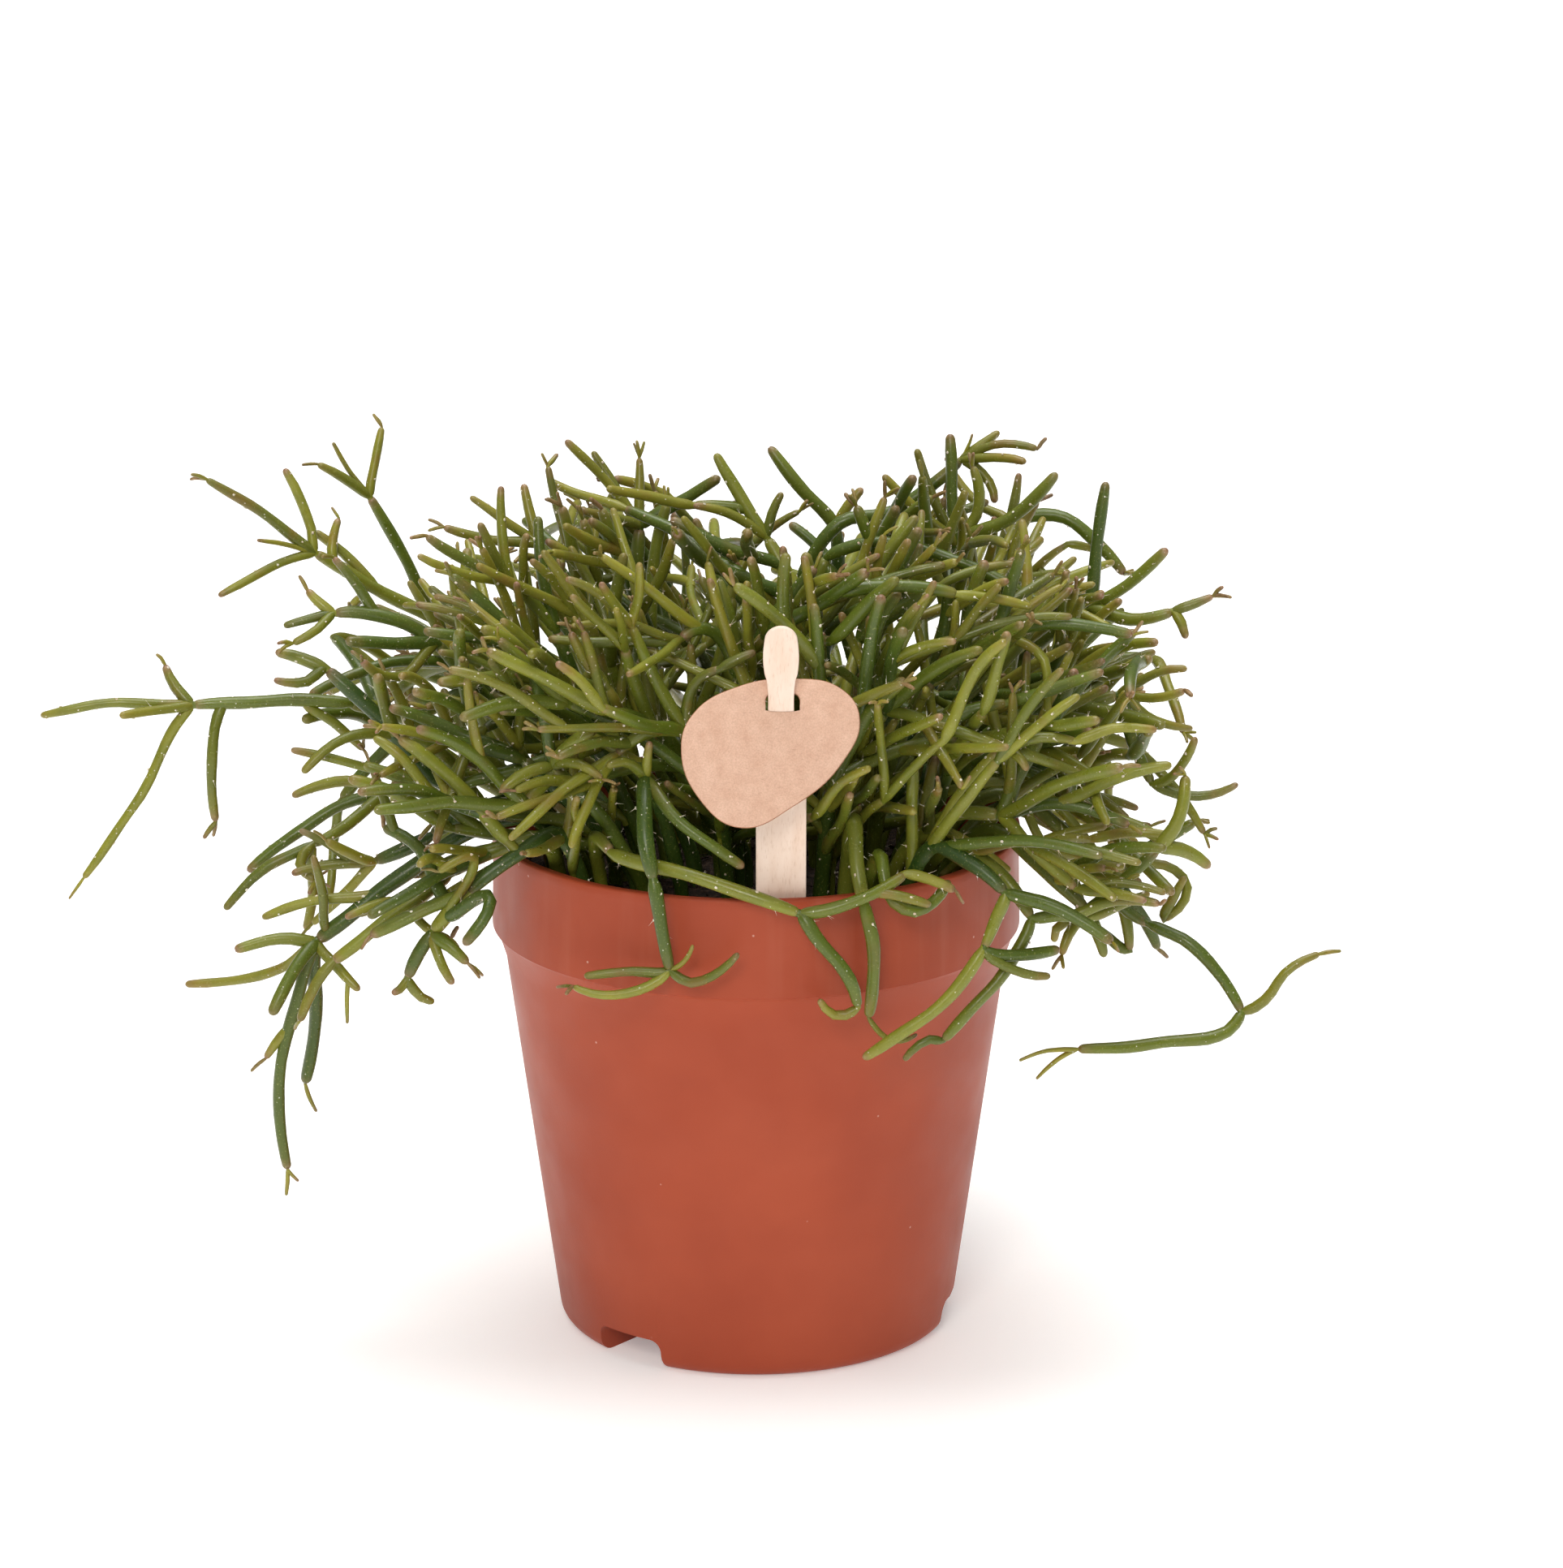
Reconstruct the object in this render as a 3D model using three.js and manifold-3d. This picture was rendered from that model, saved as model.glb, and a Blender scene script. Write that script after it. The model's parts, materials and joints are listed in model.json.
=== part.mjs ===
// Mistletoe cactus (Rhipsalis) in a nursery pot, with a bare wooden plant label.
// Millimetres, +Z up. The origin is the centre of the flat underside that the pot stands on;
// -Y is the front, where the label stands.
import * as THREE from "three";
import { mergeVertices } from "three/addons/utils/BufferGeometryUtils.js";
import Module from "manifold-3d";

// ---- driving dimensions -------------------------------------------------------------------

const GAP = 0.3; // clear space between pieces that rest against each other

const POT = {
  height: 118,
  rimRadius: 60,
  wallTopRadius: 57.3, // under the collar
  footRadius: 45.6,
  wall: 1.4,
  floor: 1.6,
  collarHeight: 28.5,
  collarSlope: 6, // height of the slope under the collar
  foot: 4, // width and height of the slope round the underside
  segments: 36,
};
const DRAIN = {
  angles: [-39.5, 80.5, 200.5], // degrees from the front towards +X
  width: 18,
  height: 7.2,
  innerEnd: 28, // distance of a channel's blind end from the axis
  roof: 1.6,
  holeRadius: 4,
  holeCentre: 36,
  holeSides: 12,
  corner: 2.6, // rounding of the channel's upper edges
  beyond: 20, // how far its cutting shape runs out past the foot
};
const SOIL = {
  top: 104,
  lump: 1.1, // height of its lumps
  crown: 3, // a root shoot starts to bend this far above the top
  rootReach: 55, // and this near the axis it is clear of the wall
  holeBottom: 90,
  fit: 0.994, // its radius, of the radius that the pot would leave it
  segments: 18,
};
const STAKE = {
  x: 5.7,
  width: 11,
  thickness: 1.3,
  lean: 9, // degrees, top towards the front
  rimY: -55.9, // its middle plane at the height of the rim
  tip: -40, // all lengths along the stake, from the height of the rim
  tipWidth: 2,
  pointLength: 13,
  shoulder: 34,
  neckStart: 40,
  neckEnd: 47,
  headStart: 53,
  top: 64.3,
  neckWidth: 6.8,
  headWidth: 7.7,
};
const TAG = {
  thickness: 1.5,
  tilt: 20, // degrees, lower end towards the front
  slotAlong: 44.6, // where the stake passes through it, along the stake
  slotWidth: 8.4,
  slotHeight: 6.8,
  slotCorner: 1.4,
  // points of the rounded outline, from the slot: across, up
  outline: [[-21.6, -8], [-18.8, -0.6], [-9.8, 4.9], [3, 6.8], [13, 4.6], [17, -1.6],
    [13.4, -11.2], [2.6, -20.9], [-8.8, -25.5], [-17.4, -19.6]],
  outlineSteps: 36,
  middle: [-2.3, -9], // of the outline, from the slot
  half: [20, 17],
};

// A shoot's radius at its base and at its tip, and its number of sides, by age.
const AGES = {
  old: { base: 1.8, tip: 1.6, sides: 5 },
  mid: { base: 1.5, tip: 1.3, sides: 5 },
  young: { base: 1.2, tip: 0.95, sides: 4 },
  thin: { base: 0.6, tip: 0.45, sides: 3 },
};
const STEM = {
  neck: 0.6, // radius at the joint, of the radius that follows
  end: 0.8, // and at the blunt end
  gap: 0.5, // between stems of different sprays
  aboveFloor: 4, // and above the ground
  aboveSoil: 2,
  labelGap: 0.8, // and beside the label
  stepTurn: 0.8, // radians of bend that one straight length of stem takes
  sink: 1.5, // how far a shoot starts inside the one that it grows from
  jointReach: 7, // stems of one spray may touch within this distance of their joint
  sampleStep: 1.5,
  maxSteps: 3, // straight lengths between two points of a shoot
  slides: [0, 3, -3, 6, -6, 9, -9, 13, -13, 17, -17], // depths tried for a shoot until it is clear
};

// The sprays are laid out on a front elevation: a point is [x, h, y], where x and h are read on the
// plane y = 0 along sight lines from this place, and y is the depth that the point really has.
const SIGHT = { x: 5.8, y: -1343, z: 522.2 };

// Each spray: its root [x, y] in the soil, then its shoots [parent, age, point, ...]. Parent 0 is the
// root, 3 is the end of the third shoot, and 2.7 is seven tenths of the way along the third shoot.
const SPRAYS = {
  front_drop: [[-16, -34],
    [0, "old", [-21, 118, -40], [-25, 128, -47]],
    [1, "old", [-25.5, 119, -56], [-23.5, 104, -61.5]],
    [2, "mid", [-19.8, 82.5, -62.5]],
    [3, "young", [-30, 76.5, -64], [-42, 78.5, -62]],
    [3, "young", [-28, 82, -61.5], [-39.5, 81, -61]],
    [3, "young", [-14, 79.5, -65], [-4, 86.5, -67]],
    [3, "thin", [-14.5, 88.5, -66]],
    [1, "mid", [-17.5, 118, -56], [-9, 111.5, -58.5], [-2.8, 107, -58.5]],
    [1, "young", [-29, 132, -50], [-34, 131, -53]],
    [1, "young", [-24, 137, -49]]],
  front_star: [[-24, -33],
    [0, "mid", [-34, 117, -40], [-46, 131, -47]],
    [1, "mid", [-53, 129, -50], [-58, 125, -52]],
    [1, "young", [-40, 131.5, -52], [-35, 128, -54]],
    [1, "mid", [-42, 136.5, -50], [-36, 140, -50]],
    [1, "mid", [-48, 144, -46], [-52, 157.5, -44]]],
  front_swag: [[-34, -30],
    [0, "mid", [-37, 114, -40], [-33, 110.5, -50]],
    [1, "mid", [-13, 104.5, -61], [10, 96, -65]],
    [2, "mid", [22, 98.5, -64.5], [34, 105.5, -60]],
    [3, "young", [40, 104, -60], [45.5, 101.5, -61]],
    [2, "mid", [14, 90, -66.5], [21, 81, -66.5], [23.3, 73.5, -65]],
    [5, "young", [18.5, 71.5, -65], [14.5, 75.5, -66]]],
  front_right_drop: [[20, -38],
    [0, "old", [22, 118, -48], [23, 108, -58], [24.5, 99, -62]],
    [1, "mid", [27, 86, -63], [25.8, 71, -62]],
    [2, "thin", [31, 65.5, -62], [37, 67, -61]]],
  rim_loop: [[24, -45],
    [0, "mid", [28, 110, -53], [31, 99.5, -59.5], [37, 96.5, -59.5], [44, 104, -53]]],
  right_ring: [[33, -40],
    [0, "old", [40, 112, -47], [49, 108, -53], [57, 101, -57]],
    [1, "mid", [54.5, 94, -58], [52, 87.5, -60]],
    [2, "mid", [46, 78, -62], [36, 69, -63.5], [24.5, 61, -64]],
    [2, "mid", [60, 86, -58], [69.5, 87.5, -54]],
    [2, "young", [60, 82, -59], [67.5, 81, -57]]],
  right_front: [[36, -32],
    [0, "old", [44, 112, -38], [54, 107, -46], [63, 95, -52]],
    [1, "mid", [58, 84, -56], [50, 73.5, -60], [43, 65.5, -61]],
    [2, "young", [39, 65.5, -62], [34, 60.5, -62.5]],
    [1, "mid", [69, 95.5, -52], [76, 95, -50]]],
  front_left_hang: [[-38, -36],
    [0, "old", [-44, 114, -40], [-54, 110.5, -49], [-66, 101, -53]],
    [1, "old", [-74, 91.5, -54]],
    [2, "mid", [-77, 87, -54], [-80, 80.5, -54]],
    [3, "young", [-81.5, 78, -55], [-83.5, 77, -57]],
    [3, "young", [-77, 76, -53], [-74, 75, -51]],
    [2, "young", [-72.5, 85, -57], [-69.5, 79, -58]],
    [2, "mid", [-70, 88, -57], [-66, 84, -58]],
    [1.6, "mid", [-61, 100, -58], [-67, 88.5, -60]],
    [1.55, "young", [-64, 109, -56], [-72.5, 106, -60]]],
  left_trailer: [[-46, -18],
    [0, "old", [-48, 117, -24], [-60, 117.5, -28], [-74, 110, -32]],
    [1, "old", [-88, 99.5, -35], [-100.5, 89.5, -37]],
    [2, "mid", [-106, 73, -38], [-110, 56, -38], [-108.5, 34, -36]],
    [3, "thin", [-109, 27.5, -35]],
    [3, "thin", [-106, 31, -37]],
    [2, "mid", [-101, 72, -31], [-104, 55, -29]],
    [6, "thin", [-101.5, 48, -28]],
    [2, "mid", [-106, 82, -43], [-111.5, 71.5, -48]],
    [2, "mid", [-108, 90, -38], [-119.5, 87.3, -40]],
    [2, "young", [-110, 82.5, -31], [-131, 79, -27]],
    [2, "young", [-96, 83, -41], [-91, 77.5, -44]],
    [1.9, "young", [-99, 101, -40], [-101, 110, -42]]],
  left_bright: [[-44, -27],
    [0, "old", [-48, 113, -38], [-58, 112, -42], [-70, 105.5, -45]],
    [1, "mid", [-83, 95.5, -48], [-97, 84.5, -50]],
    [1, "mid", [-78.5, 97.5, -42]],
    [3, "young", [-84, 98.7, -44], [-94, 95, -48]],
    [3, "young", [-76, 93, -44], [-70, 90, -46]],
    [2, "young", [-101, 79, -51], [-105, 70, -52]]],
  left_low: [[-40, -6],
    [0, "old", [-50, 121.5, -10], [-62, 121.5, -14], [-74, 114.5, -17]],
    [1, "old", [-87, 108.5, -18]],
    [2, "young", [-97, 108, -18], [-106, 105.5, -20]],
    [2, "young", [-92, 110, -23], [-98, 113.5, -26]],
    [2, "young", [-93, 102, -15], [-101.5, 93.5, -12]]],
  left_silver: [[-38, 8],
    [0, "old", [-48, 124, 6], [-66, 130, 2], [-83, 125.5, 0]],
    [1, "mid", [-97, 120.5, -2], [-116, 106, -6]],
    [1, "mid", [-92, 118, -8], [-101, 112.5, -12]],
    [3, "young", [-111, 107.5, -14], [-121.5, 97, -16]],
    [3, "young", [-104, 108, -15], [-100.5, 104, -18]],
    [3, "young", [-101, 102, -11], [-103, 92, -12]],
    [1, "young", [-94, 127.5, 4], [-105.5, 124, 4]]],
  left_thick: [[-38, -12],
    [0, "old", [-48, 118, -16], [-60, 121, -20], [-72, 127, -23]],
    [1, "old", [-84, 141, -24], [-97, 154, -22]],
    [2, "mid", [-108.5, 158, -20]],
    [2, "young", [-102, 151, -26], [-109, 151.5, -28]],
    [1.4, "young", [-92, 138, -30], [-103, 129.5, -34]],
    [1, "young", [-88, 131, -28], [-105.5, 135, -32]]],
  left_reach: [[-30, 4],
    [0, "old", [-50, 124, 6], [-74, 140, 6], [-92, 146, 2]],
    [1, "mid", [-110, 146.5, 0], [-127.5, 145.5, -2]],
    [2, "young", [-144, 146, -4], [-162, 143, -4]],
    [2, "young", [-133.5, 155, 2]],
    [2, "young", [-137, 144, -6], [-144, 143, -10]],
    [2, "young", [-140, 124, -4], [-153.5, 104.5, -6]],
    [6, "thin", [-157, 99.5, -6]],
    [1.8, "young", [-123.5, 133, -4], [-123, 118, -4]]],
  upper_left_a: [[-24, 34],
    [0, "old", [-36, 130, 34], [-58, 156, 38], [-71, 165, 36]],
    [1, "mid", [-84, 172, 32], [-99, 181, 26]],
    [2, "young", [-110.5, 190, 24], [-123, 198, 22]],
    [2, "young", [-110, 177, 22], [-121, 171, 18]],
    [2, "young", [-100, 188, 28], [-105.5, 200.5, 30]],
    [2, "thin", [-112, 184, 20]],
    [1.85, "young", [-93.5, 189, 32]]],
  upper_left_b: [[-15, 45],
    [0, "old", [-22, 138, 48], [-50, 155, 52], [-72, 165, 49]],
    [1, "mid", [-78, 178, 46], [-86.5, 194, 44]],
    [2, "young", [-85, 202, 46], [-83.5, 210, 48]],
    [2, "young", [-98, 201.5, 40]],
    [2, "thin", [-91, 200, 44], [-94.5, 206.5, 44]]],
  left_mid: [[-32, -2],
    [0, "old", [-44, 128, 2], [-60, 146, -2], [-72, 160, -4]],
    [1, "mid", [-82, 166, -6], [-95, 167, -8]],
    [2, "young", [-106.5, 164, -10]],
    [2, "young", [-101, 172.5, -6]],
    [2, "young", [-99, 163, -12], [-104.5, 160, -14]],
    [1, "mid", [-82, 160, -10], [-92.5, 160.5, -16]],
    [1, "young", [-80, 152, -12], [-89, 156, -20]]],
  right_trailer: [[40, -6],
    [0, "old", [52, 124, -8], [66, 119, -9], [76, 107, -10]],
    [1, "mid", [84, 97.5, -12], [90, 93.5, -14]],
    [2, "mid", [101, 87.5, -18], [111.5, 72.5, -22]],
    [3, "young", [117, 75.5, -22], [121.5, 82, -22], [129, 86.3, -20]],
    [4, "thin", [134, 87, -19]],
    [3, "mid", [107, 67, -25], [92, 64.6, -28], [74, 63.3, -31]],
    [6, "thin", [67, 62.8, -33], [60.5, 60.5, -34]],
    [6, "thin", [69, 60.5, -30], [64.5, 56, -30]]],
  right_thick: [[42, -18],
    [0, "old", [52, 116, -24], [64, 108, -33], [75.5, 97, -40]],
    [1, "mid", [84, 104, -43], [91.5, 111.5, -43]],
    [2, "mid", [96, 118, -42], [97.5, 129, -40]],
    [2, "mid", [98, 111, -40], [103.5, 107, -38]],
    [1, "mid", [79.8, 85.5, -42]],
    [1, "young", [72, 92, -45], [70, 86, -47]],
    [1, "young", [69, 93, -42], [68.5, 89.5, -40]]],
  right_bright: [[30, -24],
    [0, "old", [40, 117, -34], [55.5, 119.5, -42]],
    [1, "mid", [68, 122.3, -46], [85, 117, -49]],
    [1, "mid", [62, 112.5, -48], [73, 102, -51]],
    [1, "old", [59, 128, -42], [64.5, 138, -40]]],
  right_knot: [[44, -2],
    [0, "old", [56, 121, -2], [70, 116, -4], [80, 106, -8]],
    [1, "mid", [84, 97, -14], [85.5, 87, -18]],
    [1, "mid", [88, 96, -10], [92, 87.5, -12]],
    [1, "young", [92, 108, -10], [98.5, 102, -12], [93, 94.5, -14]],
    [1, "mid", [90, 112, -6], [100, 118, -6]]],
  long_arch: [[14, 10],
    [0, "old", [10, 138, 10], [10, 160, 8], [16, 180, 6]],
    [1, "mid", [30, 183.5, 3], [48, 178, -1], [62, 170.5, -5]],
    [2, "mid", [76.5, 164, -8]]],
  high_arch: [[3, 34],
    [0, "old", [6, 150, 36], [10, 175, 34]],
    [1, "mid", [19, 188, 34], [31, 191, 36], [46, 202.5, 38]],
    [2, "young", [54.5, 209, 40]],
    [2, "young", [54, 206, 36], [63, 205, 34]],
    [2, "young", [60.5, 202, 30]],
    [2, "young", [52, 198, 36], [53.5, 192.5, 34]],
    [2, "thin", [48.5, 208.5, 38]]],
  right_crown: [[26, 20],
    [0, "old", [36, 140, 26], [44, 165, 28], [45, 183, 30]],
    [1, "mid", [44, 196, 32], [43.5, 208.5, 34]],
    [1, "young", [40, 193, 28], [36, 205, 26]],
    [1, "young", [37, 190, 24], [28.5, 199, 22]],
    [1, "mid", [50, 191, 32], [48.5, 201, 34]],
    [1, "mid", [57, 189, 26], [67.5, 199.5, 24]]],
  right_top: [[38, 14],
    [0, "old", [46, 136, 16], [62, 158, 16], [75, 168, 14]],
    [1, "mid", [76.5, 182, 16], [78.5, 197.5, 18]],
    [1, "mid", [84, 174, 12], [92.5, 182, 10]],
    [1, "mid", [85, 165.5, 8], [94, 167.5, 6]],
    [4, "young", [103, 171, 6]],
    [4, "young", [97, 161, 4]]],
  right_far: [[19, 45],
    [0, "old", [31, 139, 47], [50, 168, 55], [57, 188, 58]],
    [1, "mid", [68, 189.5, 56], [77, 183, 54], [83, 176, 52]],
    [1, "young", [59, 199.5, 60]],
    [1, "young", [50, 192, 64], [44, 200, 68]]],
  right_mid: [[26, -16],
    [0, "old", [30, 130, -24], [40, 151.5, -32]],
    [1, "mid", [47, 157, -34], [54, 162, -36]],
    [2, "mid", [57, 172, -35], [60, 182, -34]],
    [2, "mid", [68, 164.5, -40], [85, 162, -42]],
    [2, "young", [64.5, 157, -42], [66, 150, -44], [65.5, 140, -46]],
    [1, "young", [44, 160, -38], [45, 170, -42]]],
  right_tips: [[42, 6],
    [0, "old", [54, 128, 0], [68, 141, -4], [82, 148, -6]],
    [1, "young", [90, 153, -8], [97.5, 154, -10]],
    [1, "young", [90, 147, -10], [97, 149, -13]],
    [1, "mid", [85, 138, -8], [90, 127, -10]],
    [4, "young", [95, 129, -12], [99.7, 138, -14]],
    [4, "young", [101, 124, -11], [109.5, 127, -12]],
    [1, "young", [90, 142, -4], [99, 140, -2]]],
  dark_front: [[16, -28],
    [0, "old", [20, 128, -38], [29.5, 144, -44]],
    [1, "mid", [42, 140.5, -50], [56.5, 135.5, -53]],
    [2, "young", [64, 138, -55], [72.5, 137, -55]],
    [2, "young", [60, 133, -57], [61.5, 130, -58]],
    [1, "mid", [26, 158, -44], [32.5, 172, -43]]],
  crown_mid: [[8, -4],
    [0, "old", [15, 136, -6], [14.5, 164.5, -4]],
    [1, "old", [8, 175, -1], [2.5, 184.5, 2]],
    [2, "mid", [-3, 193, 4], [-9, 204, 6]],
    [2, "young", [6, 195, 3]],
    [2, "young", [-6, 190, 0], [-14, 192, -2]],
    [1, "young", [21, 172, -8], [25.5, 184, -8], [29, 194, -7]]],
  crown_back: [[8, 48],
    [0, "old", [12, 145, 52], [18, 170, 54], [18, 187, 54]],
    [1, "mid", [11, 195, 54], [3, 205.5, 56]],
    [1, "young", [24, 196, 54]]],
  crown_left: [[-12, 21],
    [0, "old", [-22, 132, 24], [-26.5, 160, 27], [-26, 187, 30]],
    [1, "young", [-34, 198, 30], [-42.5, 207, 30]],
    [1, "young", [-31.5, 196, 34], [-36.5, 204.5, 36]],
    [1, "young", [-26, 203, 34]],
    [1, "young", [-33, 189, 24], [-39.5, 191, 20]],
    [1, "mid", [-15, 194, 30], [-8, 198.5, 28]]],
  crown_left_b: [[-20, 0],
    [0, "old", [-30, 136, 6], [-39, 169, 9]],
    [1, "mid", [-48.5, 183, 12]],
    [2, "young", [-60, 184, 10], [-70, 187, 8]],
    [2, "young", [-57, 189, 12], [-64, 194, 12]],
    [2, "young", [-52, 197, 16]],
    [1, "young", [-43, 185, 14], [-46.5, 201, 16]]],
  crown_left_c: [[-26, -8],
    [0, "old", [-36, 136, -10], [-45, 163, -12]],
    [1, "mid", [-55, 174, -14]],
    [2, "young", [-65, 179, -16], [-74, 185, -18]],
    [2, "young", [-66, 176, -20], [-76, 180.5, -22]],
    [2, "young", [-57, 186, -12], [-57, 196.5, -10]],
    [2, "young", [-62, 188, -14]]],
  left_light: [[-26, -24],
    [0, "old", [-38, 118, -30], [-53, 132.5, -36]],
    [1, "mid", [-63, 136, -40], [-73, 137.5, -42]],
    [1, "mid", [-68, 139.5, -34], [-83, 145, -36]]],
  left_pale: [[-24, -16],
    [0, "old", [-36, 136, -20], [-51.5, 159, -26]],
    [1, "mid", [-60, 168, -28], [-68.5, 176, -29]],
    [1, "mid", [-63, 161, -32], [-75, 163, -35]],
    [1, "young", [-61, 167, -22], [-72.5, 171, -20]]],
  front_leafy: [[-6, -28],
    [0, "old", [-9, 122, -36], [-16, 139, -43]],
    [1, "mid", [-24, 139.5, -49], [-31.5, 134, -52]],
    [1, "mid", [-22, 150, -46], [-28, 164, -46]],
    [1, "young", [-14, 150, -44], [-8, 154, -46]]],
  centre_arch: [[-4, -18],
    [0, "old", [-6, 135, -24], [-4, 152, -28]],
    [1, "mid", [-10, 163, -32], [-17, 161, -36]],
    [1, "mid", [2, 162, -34]]],
};

// How sprays grow that no list lays out.
const GROWN = {
  tries: 30,
  rootRadius: [12, 48],
  rootSpacing: 6.5,
  azimuth: [-0.12, 1.12], // half turns from +X
  scatter: 0.5, // radians that a spray may turn from its root's azimuth
  rise: [0.7, 1.5], // of its first shoot, to one along
  rootSpread: 0.25,
  spread: 0.95,
  downward: 0.62, // 0.5 would let shoots rise as often as they sink
  arch: 0.04, // how far a shoot's middle rises, of its length
  droop: 0.12, // and its end sinks
};

// The grown sprays: those of the back half, then those in the middle of the others.
const GROWN_SPRAYS = {
  back: {
    ...GROWN,
    count: 10,
    seed: 20261,
    levels: [
      { age: "old", length: [42, 56], forks: [1, 1] },
      { age: "mid", length: [30, 42], forks: [2, 3] },
      { age: "young", length: [20, 32], forks: [0.6, 2] },
    ],
  },
  inner: {
    ...GROWN,
    count: 8,
    seed: 19,
    tries: 40,
    rootRadius: [6, 44],
    rootSpacing: 5,
    azimuth: [-1, 1],
    rise: [0.5, 2.2],
    levels: [
      { age: "old", length: [38, 58], forks: [1, 1] },
      { age: "mid", length: [28, 42], forks: [3, 4] },
    ],
  },
};
const DOME = { radius: 104, top: 192, low: 92, shoulder: 38 }; // the room that grown sprays stay in

// ---- solids ---------------------------------------------------------------------------------

const wasm = await Module();
wasm.setup();

/** A three.js geometry as a manifold solid. */
function toSolid(geometry) {
  const bare = geometry.clone();
  bare.deleteAttribute("normal");
  bare.deleteAttribute("uv");
  const merged = mergeVertices(bare, 1e-4);
  const index = merged.index.array;
  const triangles = [];
  for (let i = 0; i < index.length; i += 3) {
    const [a, b, c] = [index[i], index[i + 1], index[i + 2]];
    if (a !== b && b !== c && c !== a) triangles.push(a, b, c);
  }
  return new wasm.Manifold(new wasm.Mesh({
    numProp: 3,
    vertProperties: Float32Array.from(merged.attributes.position.array),
    triVerts: Uint32Array.from(triangles),
  }));
}

/** A named mesh of a manifold solid. */
function toMesh(solid, name, material) {
  const { vertProperties, triVerts } = solid.getMesh();
  const geometry = new THREE.BufferGeometry();
  geometry.setAttribute("position", new THREE.BufferAttribute(vertProperties, 3));
  geometry.setIndex(new THREE.BufferAttribute(triVerts, 1));
  geometry.computeVertexNormals();
  const mesh = new THREE.Mesh(geometry, material);
  mesh.name = name;
  return mesh;
}

/** A solid of revolution about Z from a profile of [radius, z] points that starts and ends on the axis. */
function turned(profile, segments) {
  const points = profile.map(([r, z]) => new THREE.Vector2(r, z));
  return toSolid(new THREE.LatheGeometry(points, segments).rotateX(Math.PI / 2));
}

/** An upright cylinder from z0 to z1. */
function post(radius, x, y, z0, z1, sides) {
  const geometry = new THREE.CylinderGeometry(radius, radius, z1 - z0, sides);
  return toSolid(geometry.rotateX(Math.PI / 2).translate(x, y, (z0 + z1) / 2));
}

/** An angle in degrees, from the front towards +X, as a turn about Z of something that points to -Y. */
const turnOf = (degrees) => THREE.MathUtils.degToRad(degrees);

// ---- pot ------------------------------------------------------------------------------------

const collarBottom = POT.height - POT.collarHeight;
const collarInside = POT.rimRadius - POT.wall - 0.2;
const potOuter = [
  [0, 0], [POT.footRadius - POT.foot, 0], [POT.footRadius, POT.foot],
  [POT.wallTopRadius, collarBottom], [POT.rimRadius + 0.2, collarBottom + POT.collarSlope],
  [POT.rimRadius + 0.2, POT.height - 1], [POT.rimRadius - 0.4, POT.height], [0, POT.height],
];

/** The inside of the pot up to its collar, `clear` smaller all round. */
const potInner = (clear) => [
  [0, POT.floor + clear], [POT.footRadius - POT.foot - POT.wall - clear, POT.floor + clear],
  [POT.footRadius - POT.wall - clear, POT.foot + POT.floor + clear],
  [POT.wallTopRadius - POT.wall - clear, collarBottom + POT.wall],
  [collarInside - clear, collarBottom + POT.wall + POT.collarSlope],
];

/** A drain channel's block, from the underside up, `grow` larger all round than the channel. */
function drainBlock(angle, grow) {
  const half = DRAIN.width / 2 + grow;
  const top = DRAIN.height + grow;
  const corner = DRAIN.corner + grow;
  const shape = new THREE.Shape();
  shape.moveTo(-half, -2);
  shape.lineTo(half, -2);
  shape.lineTo(half, top - corner);
  shape.absarc(half - corner, top - corner, corner, 0, Math.PI / 2);
  shape.absarc(corner - half, top - corner, corner, Math.PI / 2, Math.PI);
  shape.lineTo(-half, -2);
  const inner = DRAIN.innerEnd - grow;
  const depth = POT.footRadius + DRAIN.beyond - inner;
  const geometry = new THREE.ExtrudeGeometry(shape, { depth, bevelEnabled: false, curveSegments: 3 });
  geometry.rotateX(Math.PI / 2).translate(0, -inner, 0).rotateZ(turnOf(angle));
  return toSolid(geometry);
}

function makePot() {
  const outer = turned(potOuter, POT.segments);
  const lip = [...potInner(0), [POT.rimRadius - POT.wall, POT.height + 1], [0, POT.height + 1]];
  let pot = outer.subtract(turned(lip, POT.segments));
  for (const angle of DRAIN.angles) {
    pot = pot.add(drainBlock(angle, DRAIN.roof).intersect(outer));
  }
  for (const angle of DRAIN.angles) {
    pot = pot.subtract(drainBlock(angle, 0));
    const a = turnOf(angle);
    const [x, y] = [DRAIN.holeCentre * Math.sin(a), -DRAIN.holeCentre * Math.cos(a)];
    const roofTop = DRAIN.height + DRAIN.roof;
    pot = pot.subtract(post(DRAIN.holeRadius, x, y, DRAIN.height - 1, roofTop + 1, DRAIN.holeSides));
  }
  return pot;
}

// ---- stems ----------------------------------------------------------------------------------

/** A seeded generator of numbers from 0 to 1. */
function draws(seed) {
  let state = seed >>> 0;
  return () => {
    state = (state + 0x6d2b79f5) >>> 0;
    let t = state;
    t = Math.imul(t ^ (t >>> 15), t | 1);
    t ^= t + Math.imul(t ^ (t >>> 7), t | 61);
    return ((t ^ (t >>> 14)) >>> 0) / 4294967296;
  };
}

/** The place in space of an elevation point [x, h, y], slid by `slide` along its sight line. */
function place([x, h, y], slide) {
  const depth = y + slide;
  const t = 1 - depth / SIGHT.y;
  return new THREE.Vector3(SIGHT.x + (x - SIGHT.x) * t, depth, SIGHT.z + (h - SIGHT.z) * t);
}

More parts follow.
